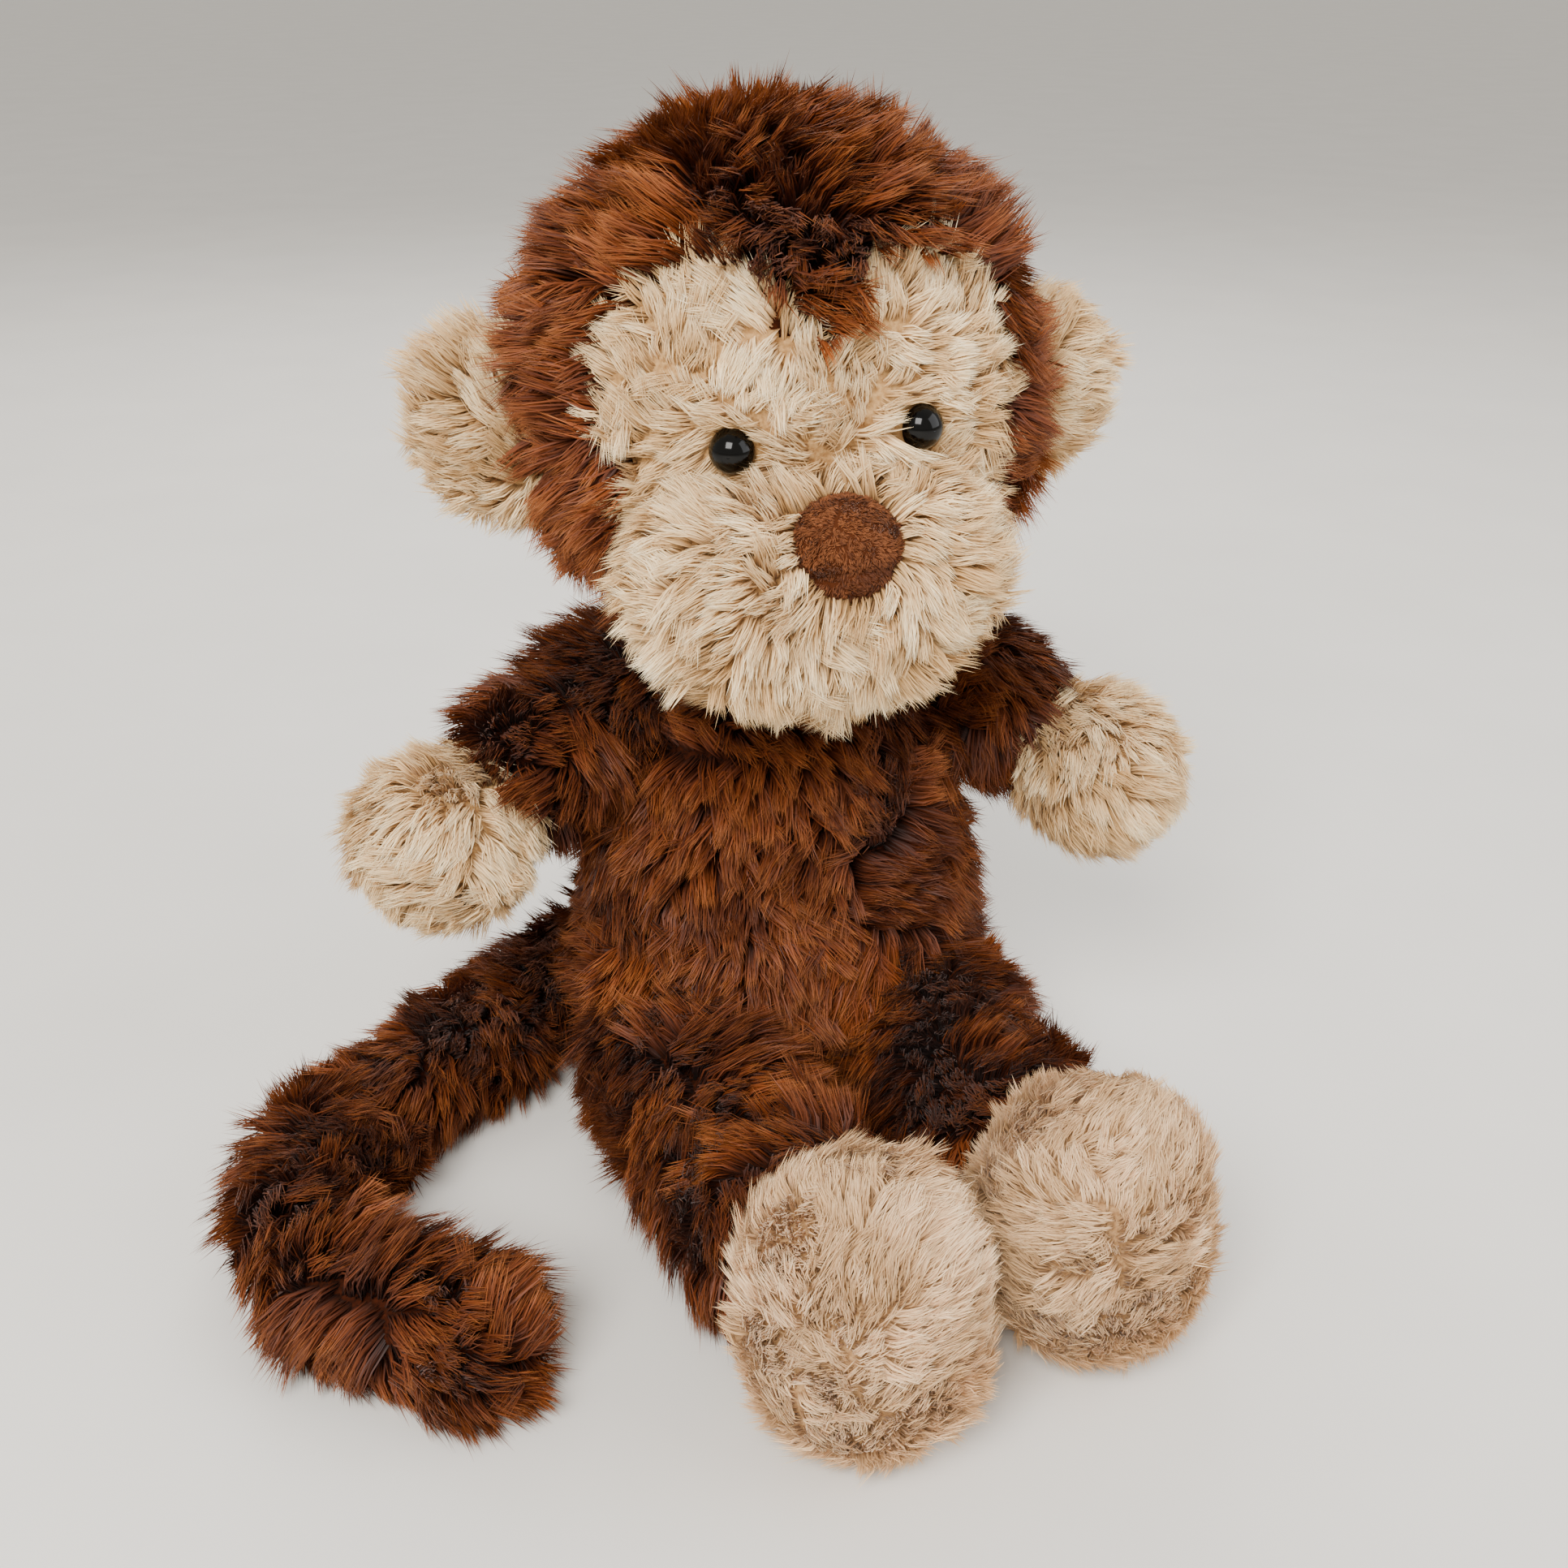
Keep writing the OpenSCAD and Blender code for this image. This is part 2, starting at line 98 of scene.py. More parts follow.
BLADE_TRIANGLES = 3
BLADE_POINTS = 5
BLADE_CORNERS = (0, 1, 3, 2, 2, 3, 4)
FUR_MAP = "OFBake"
# Stops of each strand's colour from root to tip: the dark roots are painted shade deep in the pile, the
# lighter tips painted light shining through it.
ROOT_TO_TIP = (0.0, 0.32, 0.72, 1.0)
CLOTH_FRAMES = 20

# How far chance moves the pile: tints from 0 to 1, angles in degrees, the rest as shares of a strand.
MIDDLE_TINT = 0.4
TUFT_TINT = 0.13
LOCK_TINT = 0.12
STRAND_TINT = 0.15
# Share of tufts tinted lighter and golden as painted highlights of the fur's shine.
HIGHLIT_TUFTS = 0.16
TUFT_LEAN = 9
LOCK_LEAN = 6
LOCK_SWIRL = 0.35
STRAND_SWIRL = 0.13
STRAND_LENGTHS = (0.72, 1.06)
LONG_STRANDS = 0.012
LONG_STRAND = 1.28
LONGEST = 1.5
SIZES = (0.6, 1.45)
SUNK_ROOT = 2.0
SUNK_TIP = 2.5

Points = np.ndarray
Comb = Callable[[Points, Points], Points]
Keep = Callable[[Points], np.ndarray]


class Side(Enum):
    """The monkey's own right and left, with the sign of X on that side."""

    RIGHT = -1
    LEFT = 1

    @property
    def label(self) -> str:
        """The word that ends this side's names."""
        return self.name.lower()


def vec(*values: float) -> Points:
    """A point or direction as an array of floats."""
    return np.array(values, float)


def unit(v: Points) -> Points:
    """The direction of each row of v, or of v itself."""
    length = np.linalg.norm(v, axis=-1, keepdims=True)
    return v / np.maximum(length, 1e-9)


def flat_way(degrees: float) -> Points:
    """The level direction at that angle from +X."""
    a = math.radians(degrees)
    return vec(math.cos(a), math.sin(a), 0)


def linear(colour: tuple[int, int, int]) -> tuple[float, float, float, float]:
    """A screen colour of three bytes as the shader's linear colour.

    Args:
        colour: red, green and blue, from 0 to 255.

    Returns:
        Red, green, blue and alpha, from 0 to 1.
    """
    made = [
        c / 255 / 12.92 if c / 255 <= 0.04045 else ((c / 255 + 0.055) / 1.055) ** 2.4
        for c in colour
    ]
    return (made[0], made[1], made[2], 1.0)


# ---------------------------------------------------------------- finishes


class Graph:
    """A material's node tree, with short ways to add the nodes that the finishes share."""

    def __init__(self, name: str) -> None:
        """Starts a material with a Principled shader.

        Args:
            name: the material's name.
        """
        self.material = bpy.data.materials.new(name)
        self.material.use_nodes = True
        self.nodes = self.material.node_tree.nodes
        self.links = self.material.node_tree.links
        self.shader = next(n for n in self.nodes if n.type == "BSDF_PRINCIPLED")

    def add(self, kind: str, **values: float) -> bpy.types.Node:
        """Adds a node and sets its inputs.

        Args:
            kind: the node's type name.
            values: input names, with underscores for spaces, and their values.

        Returns:
            The new node.
        """
        node = self.nodes.new(kind)
        for key, value in values.items():
            node.inputs[key.replace("_", " ")].default_value = value
        return node

    def link(self, source: bpy.types.NodeSocket, target: bpy.types.NodeSocket) -> None:
        """Joins an output to an input."""
        self.links.new(source, target)

    def ramp(self, fac: bpy.types.NodeSocket, stops: Sequence[tuple[float, tuple]]) -> bpy.types.NodeSocket:
        """Adds a colour ramp.

        Args:
            fac: what drives the ramp.
            stops: places from 0 to 1, each with a linear colour.

        Returns:
            The ramp's colour output.
        """
        node = self.nodes.new("ShaderNodeValToRGB")
        elements = node.color_ramp.elements
        while len(elements) < len(stops):
            elements.new(0.5)
        for element, (place, colour) in zip(elements, stops, strict=True):
            element.position = place
            element.color = colour
        self.link(fac, node.inputs["Fac"])
        return node.outputs["Color"]

    def mix(
        self, fac: bpy.types.NodeSocket, a: bpy.types.NodeSocket, b: bpy.types.NodeSocket
    ) -> bpy.types.NodeSocket:
        """Mixes two colours.

        Args:
            fac: share of b.
            a: the first colour.
            b: the second colour.

        Returns:
            The mixed colour.
        """
        node = self.nodes.new("ShaderNodeMix")
        node.data_type = "RGBA"
        self.link(fac, node.inputs[0])
        self.link(a, node.inputs[6])
        self.link(b, node.inputs[7])
        return node.outputs[2]

    def noise(self, scale: float, detail: float = 3.0) -> bpy.types.NodeSocket:
        """Adds noise on the object's own coordinates.

        Args:
            scale: the noise's scale, per metre.
            detail: how many finer layers it has.

        Returns:
            The noise value.
        """
        place = self.nodes.new("ShaderNodeTexCoord")
        node = self.add("ShaderNodeTexNoise", Scale=scale, Detail=detail)
        self.link(place.outputs["Object"], node.inputs["Vector"])
        return node.outputs["Fac"]

    def bump(self, height: bpy.types.NodeSocket, distance: float, strength: float = 0.6) -> None:
        """Adds a bump to the shader.

        Args:
            height: the height value.
            distance: the height of 1, in metres.
            strength: the bump's strength.
        """
        node = self.add("ShaderNodeBump", Strength=strength, Distance=distance)
        self.link(height, node.inputs["Height"])
        self.link(node.outputs["Normal"], self.shader.inputs["Normal"])

    def set(self, **values: float) -> None:
        """Sets constants on the shader, by input name with underscores for spaces."""
        for key, value in values.items():
            self.shader.inputs[key.replace("_", " ")].default_value = value


@dataclass(frozen=True)
class PileFinish:
    """The dye of a pile: a dark and a light strand, each from its root to its tip, with painted shade
    darkening the roots and painted light brightening the tips.
    """

    name: str
    slot: str
    dark: tuple[tuple[int, int, int], ...]
    light: tuple[tuple[int, int, int], ...]
    roughness: float = 0.55
    sheen: float = 0.12

    def strands(self) -> bpy.types.Material:
        """The material of the strands, whose map says each strand's tint and the place along it."""
        g = Graph(self.name)
        uv = g.nodes.new("ShaderNodeUVMap")
        uv.uv_map = FUR_MAP
        parts = g.nodes.new("ShaderNodeSeparateXYZ")
        g.link(uv.outputs["UV"], parts.inputs["Vector"])
        along = parts.outputs["Y"]
        # Each ramp runs from painted shade at the root to painted light at the tip.
        dark, light = (
            g.ramp(along, [(p, linear(c)) for p, c in zip(ROOT_TO_TIP, dye, strict=True)])
            for dye in (self.dark, self.light)
        )
        g.link(g.mix(parts.outputs["X"], dark, light), g.shader.inputs["Base Color"])
        g.set(Roughness=self.roughness, Sheen_Weight=self.sheen, Sheen_Roughness=0.4, Specular_IOR_Level=0.25)
        return g.material

    def backing(self) -> bpy.types.Material:
        """The material of the knitted cloth that the strands stand on."""
        g = Graph(self.name + "_backing")
        fine = g.noise(900.0)
        broad = g.noise(60.0)
        # Its colours are mostly the strands' dark root stops, which are painted shade.
        low = g.ramp(fine, [(0.3, linear(self.dark[0])), (0.7, linear(self.dark[1]))])
        high = g.ramp(fine, [(0.3, linear(self.light[0])), (0.7, linear(self.dark[2]))])
        g.link(g.mix(broad, low, high), g.shader.inputs["Base Color"])
        g.bump(fine, 0.0006)
        g.set(Roughness=0.95, Specular_IOR_Level=0.1)
        return g.material


class Finishes(Enum):
    """The toy's piles, each one a dye lot of its own, with painted shade at the strands' roots and painted
    light at their tips.
    """

    LONG = PileFinish(
        "brown_pile", "long_pile",
        ((18, 6, 2), (50, 19, 6), (67, 27, 9), (80, 35, 12)),
        ((34, 13, 4), (92, 41, 14), (130, 65, 25), (180, 108, 52)),
        sheen=0.04,
    )
    HEAD = PileFinish(
        "rust_pile", "head_pile",
        ((20, 7, 2), (60, 24, 7), (82, 35, 11), (94, 44, 15)),
        ((40, 16, 5), (108, 49, 16), (148, 76, 29), (196, 122, 62)),
        sheen=0.04,
    )
    FACE = PileFinish(
        "pale_pile", "face_pile",
        ((104, 68, 36), (184, 142, 90), (213, 174, 120), (230, 194, 142)),
        ((178, 134, 84), (246, 210, 158), (255, 232, 187), (255, 246, 215)),
    )
    FOOT = PileFinish(
        "sole_pile", "foot_pile",
        ((142, 106, 70), (186, 147, 103), (206, 168, 122), (220, 184, 138)),
        ((162, 122, 82), (232, 194, 150), (248, 214, 172), (255, 230, 192)),
    )
    NOSE = PileFinish(
        "nose_nap", "nose",
        ((50, 22, 8), (70, 34, 14), (80, 40, 18), (88, 46, 22)),
        ((86, 44, 20), (118, 66, 34), (136, 79, 42), (150, 92, 52)),
        roughness=0.75,
        sheen=0.1,
    )


@dataclass(frozen=True)
class Plain:
    """A finish of the fittings and of what is inside the toy."""

    name: str
    low: tuple[int, int, int]
    high: tuple[int, int, int]
    scale: float
    height: float
    roughness: float
    sheen: float = 0.0
    specular: float = 0.5

    def material(self) -> bpy.types.Material:
        """Builds the finish."""
        g = Graph(self.name)
        value = g.noise(self.scale)
        colour = g.ramp(value, [(0.35, linear(self.low)), (0.65, linear(self.high))])
        g.link(colour, g.shader.inputs["Base Color"])
        if self.height:
            g.bump(value, self.height)
        g.set(Roughness=self.roughness, Sheen_Weight=self.sheen, Specular_IOR_Level=self.specular)
        return g.material


class Fitting(Enum):
    """Finishes of the pieces that carry no pile, each chosen by a word in the piece's name."""

    EYE = Plain("eye_gloss", (1, 1, 1), (4, 3, 2), 500.0, 0.0, 0.1, specular=0.22)
    WASHER = Plain("washer_plastic", (20, 20, 21), (32, 32, 33), 900.0, 0.0001, 0.55)
    STUFFING = Plain("fibre_fill", (222, 220, 212), (246, 245, 240), 420.0, 0.0012, 0.95, sheen=0.4)
    POUCH = Plain("pouch_cloth", (196, 190, 174), (222, 216, 202), 1400.0, 0.0003, 0.9)
    BEADS = Plain("bead_plastic", (214, 219, 224), (238, 242, 246), 600.0, 0.0009, 0.35)
    THREAD = Plain("sewing_thread", (44, 22, 10), (84, 44, 20), 2600.0, 0.0002, 0.8, sheen=0.2)


# ---------------------------------------------------------------- shapes


@dataclass(frozen=True)
class Rod:
    """A round-ended rod, or a ball where both ends are one point. It tells how deep points lie inside it."""

    a: Points
    b: Points
    r: float

    def outside(self, p: Points) -> np.ndarray:
        """Distance of each point outside the rod, negative inside.

        Args:
            p: the points.

        Returns:
            One distance for each point.
        """
        run = self.b - self.a
        t = np.clip(((p - self.a) @ run) / max(float(run @ run), 1e-9), 0, 1)
        return np.linalg.norm(p - self.a - t[:, None] * run, axis=1) - self.r


@dataclass(frozen=True)
class Bolster:
    """An upright body of oval sections, wide at the seat and narrower at the chest."""

    sections: tuple[tuple[float, float, float], ...]
    top: float

    def outside(self, p: Points) -> np.ndarray:
        """Rough distance of each point outside the body, negative inside.

        Args:
            p: the points.

        Returns:
            One distance for each point.
        """
        z, a, b = (np.array(c) for c in zip(*self.sections, strict=True))
        wide, deep = np.interp(p[:, 2], z, a), np.interp(p[:, 2], z, b)
        ring = np.hypot(p[:, 0] / wide, p[:, 1] / deep)
        return np.maximum((ring - 1) * np.minimum(wide, deep), np.maximum(p[:, 2] - self.top, -p[:, 2]))


def pick_none() -> None:
    """Leaves every object unselected."""
    if bpy.context.object and bpy.context.object.mode != "OBJECT":
        bpy.ops.object.mode_set(mode="OBJECT")
    bpy.ops.object.select_all(action="DESELECT")


def pick(*objects: bpy.types.Object) -> None:
    """Selects these objects alone, the first one active."""
    pick_none()
    for o in objects:
        o.select_set(True)
    bpy.context.view_layer.objects.active = objects[0]


def settle(o: bpy.types.Object, name: str) -> bpy.types.Object:
    """Names an object and moves its place, turn and scale into its mesh.

    Args:
        o: the object.
        name: its new name.

    Returns:
        The object.
    """
    pick(o)
    bpy.ops.object.transform_apply(location=True, rotation=True, scale=True)
    o.name = o.data.name = name
    return o


def stuffed_ball(at: Points, radii: Sequence[float], turn: Euler | None = None) -> bpy.types.Object:
    """A ball or egg of fabric.

    Args:
        at: its middle.
        radii: its three half widths.
        turn: its turn about its middle.

    Returns:
        The new object.
    """
    pick_none()
    bpy.ops.mesh.primitive_uv_sphere_add(segments=40, ring_count=24, radius=1, location=Vector(at) * MM)
    o = bpy.context.object
    o.scale = Vector(radii) * MM
    if turn is not None:
        o.rotation_euler = turn
    return settle(o, "ball")


def stuffed_tube(points: Sequence[Points], radii: Sequence[float], name: str) -> bpy.types.Object:
    """A tube of fabric along a line of points.

    Args:
        points: the middle line.
        radii: the tube's radius at each point.
        name: the object's name.

    Returns:
        The new object.
    """
    pick_none()
    bpy.ops.curve.primitive_nurbs_path_add()
    o = bpy.context.object
    curve = o.data
    curve.splines.clear()
    spline = curve.splines.new("POLY")
    spline.points.add(len(points) - 1)
    for place, p, r in zip(spline.points, points, radii, strict=True):
        place.co = (*(Vector(p) * MM), 1)
        place.radius = r
    curve.dimensions = "3D"
    curve.bevel_depth = MM
    curve.bevel_resolution = 8
    curve.use_fill_caps = True
    o.location = (0, 0, 0)
    pick(o)
    bpy.ops.object.convert(target="MESH")
    return settle(bpy.context.object, name)


def apply(o: bpy.types.Object, kind: str, **settings: object) -> None:
    """Adds a modifier of that kind with those settings, and applies it.

    Args:
        o: the object.
        kind: the modifier's type name.
        settings: the modifier's settings.
    """
    pick(o)
    modifier = o.modifiers.new(kind.lower(), kind)
    for key, value in settings.items():
        setattr(modifier, key, value)
    bpy.ops.object.modifier_apply(modifier=modifier.name)


def sew(
    name: str, parts: Sequence[bpy.types.Object], voxel: float = 3.0, soften: int = 6
) -> bpy.types.Object:
    """Joins shapes into one closed skin.

    Args:
        name: the skin's name.
        parts: closed shapes that overlap.
        voxel: the size of the new skin's faces.
        soften: how many times the joins are smoothed.

    Returns:
        The skin.
    """
    pick(*parts)
    if len(parts) > 1:
        bpy.ops.object.join()
    o = settle(bpy.context.object, name)
    apply(o, "REMESH", mode="VOXEL", voxel_size=voxel * MM)
    apply(o, "SMOOTH", factor=0.5, iterations=soften)
    return o


def read_points(o: bpy.types.Object) -> Points:
    """A mesh's points in millimetres.

    Args:
        o: the mesh object.

    Returns:
        One row for each point.
    """
    co = np.zeros(len(o.data.vertices) * 3, np.float32)
    o.data.vertices.foreach_get("co", co)
    return co.reshape(-1, 3).astype(float) / MM


def write_points(o: bpy.types.Object, points: Points) -> None:
    """Moves a mesh's points to these places, in millimetres.

    Args:
        o: the mesh object.
        points: one row for each point.
    """
    o.data.vertices.foreach_set("co", (points * MM).astype(np.float32).ravel())
    o.data.update()


def inflate(o: bpy.types.Object, cap: float, pressure: float = 4.0) -> None:
    """Lets the filling press a skin outwards as cloth, by at most cap.

    Args:
        o: the skin.
        cap: the most that a point may move.
        pressure: the filling's pressure.
    """
    scene = bpy.context.scene
    rest = read_points(o)
    pick(o)
    cloth = o.modifiers.new("filling", "CLOTH")
    cloth.settings.use_pressure = True
    cloth.settings.uniform_pressure_force = pressure
    cloth.settings.effector_weights.gravity = 0
    cloth.settings.quality = 4
    cloth.point_cache.frame_start = 1
    cloth.point_cache.frame_end = CLOTH_FRAMES
    for frame in range(1, CLOTH_FRAMES + 1):
        scene.frame_set(frame)
    shown = o.evaluated_get(bpy.context.evaluated_depsgraph_get())
    pressed = np.zeros(len(o.data.vertices) * 3, np.float32)
    shown.data.vertices.foreach_get("co", pressed)
    move = pressed.reshape(-1, 3) / MM - rest
    length = np.linalg.norm(move, axis=1, keepdims=True)
    move *= np.minimum(1, cap / np.maximum(length, 1e-9))
    bpy.ops.object.modifier_remove(modifier=cloth.name)
    scene.frame_set(1)
    write_points(o, rest + move)


def lump(o: bpy.types.Object, depth: float, size: float, seed: int) -> None:
    """Gives a skin the soft unevenness of hand filling.

    Args:
        o: the skin.
        depth: the height of a lump.
        size: the distance between lumps.
        seed: where the pattern starts.
    """
    rng = np.random.default_rng(seed)
    p = read_points(o)
    normals = surface(o).normals
    waves = unit(rng.normal(size=(9, 3))) * (2 * math.pi / size) * rng.uniform(0.6, 1.4, (9, 1))
    height = np.sin(p @ waves.T + rng.uniform(0, 6.28, 9)).mean(axis=1) * 2.2
    write_points(o, p + normals * (height * depth)[:, None])


def on_ground(o: bpy.types.Object) -> None:
    """Presses whatever would lie below the ground flat onto it.

    Args:
        o: the skin.
    """
    p = read_points(o)
    p[:, 2] = np.maximum(p[:, 2], GROUND_GAP)
    write_points(o, p)


# ---------------------------------------------------------------- pile


@dataclass
class Surface:
    """A skin's points, normals and triangles, for growing a pile on."""

    points: Points
    normals: Points
    triangles: np.ndarray

    def scatter(self, rng: np.random.Generator, per_mm2: float, keep: Keep | None) -> tuple[Points, Points]:
        """Scatters roots evenly by area.

        Args:
            rng: the source of chance.
            per_mm2: roots for each square millimetre.
            keep: says which places carry the pile.

        Returns:
            The roots and their normals.
        """
        corners = self.points[self.triangles]
        sides = np.cross(corners[:, 1] - corners[:, 0], corners[:, 2] - corners[:, 0])
        area = np.linalg.norm(sides, axis=1) / 2
        count = max(1, int(area.sum() * per_mm2))
        face = rng.choice(len(area), count, p=area / area.sum())
        u, v = rng.random(count), rng.random(count)
        over = u + v > 1
        u[over], v[over] = 1 - u[over], 1 - v[over]
        weights = np.stack([1 - u - v, u, v], axis=1)[:, :, None]
        p = (corners[face] * weights).sum(axis=1)
        n = unit((self.normals[self.triangles[face]] * weights).sum(axis=1))
        if keep is not None:
            kept = keep(p)
            p, n = p[kept], n[kept]
        return p, n


def surface(o: bpy.types.Object) -> Surface:
    """Reads a skin's surface.

    Args:
        o: the skin.

    Returns:
        Its points, normals and triangles.
    """
    mesh = o.data
    mesh.calc_loop_triangles()
    triangles = np.zeros(len(mesh.loop_triangles) * 3, np.int32)
    mesh.loop_triangles.foreach_get("vertices", triangles)
    normals = np.zeros(len(mesh.vertices) * 3, np.float32)
    mesh.vertex_normals.foreach_get("vector", normals)
    return Surface(read_points(o), normals.reshape(-1, 3).astype(float), triangles.reshape(-1, 3))


def nearest(centres: Points, p: Points) -> np.ndarray:
    """The index of the centre that is nearest to each point.

    Args:
        centres: the places to choose from.
        p: the points.

    Returns:
        One index for each point.
    """
    tree = KDTree(len(centres))
    for i, c in enumerate(centres):
        tree.insert(c, i)
    tree.balance()
    return np.array([tree.find(q)[1] for q in p.tolist()], int)


@dataclass(frozen=True)
class Pile:
    """How one kind of pile grows: strands gather into locks, and locks lie together in tufts."""

    length: float
    lean: float
    density: float
    width: float
    lock: float
    tuft: float
    swirl: float
    pull: float
    finish: Finishes
    ragged: float = 0.25
    # How far those tufts are lightened: a painted highlight.
    highlight_tint: float = 0.0
    mottle: float = 1.0

    def grow(
        self,
        name: str,
        skin: bpy.types.Object,
        comb: Comb,
        seed: int,
        keep: Keep | None = None,
        avoid: Sequence[Rod | Bolster] = (),
        clear: Sequence[tuple[Points, float]] = (),
        painted_shade: Callable[[Points], np.ndarray] | None = None,
    ) -> list[bpy.types.Object]:
        """Grows the pile on a skin.

        Args:
            name: the start of the new pieces' names.
            skin: what the pile stands on.
            comb: gives the direction in which the pile is combed, at points with normals.
            seed: the source of chance starts here.
            keep: says which places carry the pile.
            avoid: bodies that no strand ends inside.
            clear: points with a radius that no strand enters.
            painted_shade: painted shade and light for each strand, by its root: how much darker or lighter it
                is made.

        Returns:
            The pieces of pile.
        """
        rng = np.random.default_rng(seed)
        ground = surface(skin)
        tufts, _ = ground.scatter(rng, self.tuft**-2, None)
        locks, lock_normals = ground.scatter(rng, self.lock**-2, None)
        roots, normals = ground.scatter(rng, self.density, keep)
        deep = np.zeros(len(roots), bool)
        for body in avoid:
            deep |= body.outside(roots) < -SUNK_ROOT
        roots, normals = roots[~deep], normals[~deep]

        tuft_of = nearest(tufts, locks)

        def chance(tuft: float, lock: float) -> np.ndarray:
            """A value for each lock, partly shared by its tuft.

            Args:
                tuft: the spread between tufts.
                lock: the spread between the locks of a tuft.

            Returns:
                One value for each lock.
            """
            return rng.normal(0, tuft, len(tufts))[tuft_of] + rng.normal(0, lock, len(locks))

        turn = chance(self.swirl, self.swirl * LOCK_SWIRL)
        lean = self.lean + rng.normal(0, TUFT_LEAN, len(tufts))[tuft_of]
        lean = lean + rng.normal(0, LOCK_LEAN, len(locks))
        ragged = self.ragged * 0.5
        size = (1 + rng.normal(0, ragged, len(tufts)))[tuft_of] * (1 + rng.normal(0, ragged, len(locks)))
        size = np.clip(size, *SIZES)
        tint = chance(TUFT_TINT, LOCK_TINT) * self.mottle
        # Some tufts are tinted lighter and golden as painted highlights of the shine on the locks.
        highlit = rng.random(len(tufts)) < HIGHLIT_TUFTS
        tint += self.highlight_tint * highlit[tuft_of] * rng.uniform(0.5, 1, len(locks))

        way = self.combed(comb, locks, lock_normals, np.radians(turn), rng)
        tilt = np.radians(np.clip(lean, 12, 86))[:, None]
        lock_way = lock_normals * np.cos(tilt) + way * np.sin(tilt)
        lock_tip = locks + lock_way * (self.length * size)[:, None]

        of = nearest(locks, roots)
        own = way[of] - normals * (way[of] * normals).sum(axis=1, keepdims=True)
        own = unit(own + rng.normal(0, STRAND_SWIRL, own.shape))
        out = normals * np.cos(tilt[of]) + own * np.sin(tilt[of])
        length = self.length * size[of] * rng.uniform(*STRAND_LENGTHS, len(roots))
        length *= np.where(rng.random(len(roots)) < LONG_STRANDS, LONG_STRAND, 1.0)
        free = roots + out * length[:, None]
        gathered = lock_tip[of] + (roots - locks[of]) * 0.22
        pull = (self.pull * rng.uniform(0.7, 1.15, len(roots)))[:, None]
        tips = free + (gathered - free) * np.minimum(pull, 0.95)
        knees = roots + normals * (length * 0.34)[:, None] + (tips - roots) * 0.26
        knees += rng.normal(0, 0.05, knees.shape) * length[:, None]
        tips = tips + rng.normal(0, 0.045, tips.shape) * length[:, None]
        shade = MIDDLE_TINT + tint[of] + rng.normal(0, STRAND_TINT, len(roots))
        # Painted shade and light by place, where given: the nose's darker crease and lower half, and its
        # lighter upper half.
        if painted_shade is not None:
            shade = shade + painted_shade(roots)
        shade = np.clip(shade, 0.02, 0.98)

        for p in (tips, knees):
            p[:, 2] = np.maximum(p[:, 2], GROUND_GAP + rng.uniform(0, 0.8, len(p)))
        lost = np.linalg.norm(tips - roots, axis=1) > self.length * LONGEST
        for body in avoid:
            lost |= body.outside(tips) < -SUNK_TIP
        for centre, radius in clear:
            for p in (tips, (tips + knees) / 2, knees):
                lost |= np.linalg.norm(p - centre, axis=1) < radius
        good = ~lost
        return self.blades(name, roots[good], knees[good], tips[good], normals[good], shade[good], rng)

    def combed(self, comb: Comb, p: Points, n: Points, turn: np.ndarray, rng: np.random.Generator) -> Points:
        """The combed direction along the skin, turned by each lock's own angle.

        Args:
            comb: the direction in which the pile is combed.
            p: points on the skin.
            n: the skin's normals there.
            turn: angles about the normals.
            rng: the source of chance, for places where the comb has no direction.

        Returns:
            Directions that lie in the skin.
        """
        way = comb(p, n) + rng.normal(0, 0.02, p.shape)
        way = unit(way - n * (way * n).sum(axis=1, keepdims=True))
        across = np.cross(n, way)
        return way * np.cos(turn)[:, None] + across * np.sin(turn)[:, None]

    def blades(
        self,
        name: str,
        roots: Points,
        knees: Points,
        tips: Points,
        normals: Points,
        shade: np.ndarray,
        rng: np.random.Generator,
    ) -> list[bpy.types.Object]:
        """Writes the strands as narrow pointed blades.

        Args:
            name: the start of the new pieces' names.
            roots: where the strands start.
            knees: the points that they bend towards.
            tips: where they end.
            normals: the skin's normals at the roots.
            shade: each strand's tint, from 0 to 1.
            rng: the source of chance.

        Returns:
            The pieces of pile.
        """
        count = len(roots)
        middle = roots * 0.25 + knees * 0.5 + tips * 0.25
        run = unit(tips - roots)
        side = unit(np.cross(run, normals))
        twist = rng.normal(0, 0.55, count)[:, None]
        side = side * np.cos(twist) + np.cross(run, side) * np.sin(twist)
        width = (self.width * rng.uniform(0.7, 1.25, count))[:, None]
        sunk = roots - normals * 0.25
        ring = np.stack(
            [sunk - side * width * 0.5, sunk + side * width * 0.5,
             middle - side * width * 0.42, middle + side * width * 0.42, tips], axis=1)
        ring[:, :, 2] = np.maximum(ring[:, :, 2], GROUND_GAP * 0.5)
        edge = 0.004
        uv = np.zeros((count, len(BLADE_CORNERS), 2), np.float32)
        for i, (offset, along) in enumerate(
            ((-edge, 0.02), (edge, 0.02), (edge, 0.5), (-edge, 0.5), (-edge, 0.5), (edge, 0.5), (0, 0.98))
        ):
            uv[:, i, 0] = shade + offset
            uv[:, i, 1] = along
        made = []
        share = max(1, math.ceil(count * BLADE_TRIANGLES / TRIANGLES_PER_PIECE))
        order = np.argsort(rng.random(count)) if share > 1 else np.arange(count)
        for i, part in enumerate(np.array_split(order, share)):
            label = name if share == 1 else f"{name}_{i + 1}"
            made.append(self.blade_mesh(label, ring[part], uv[part]))
        LOG.info("%s: %d strands in %d pieces", name, count, len(made))
        return made

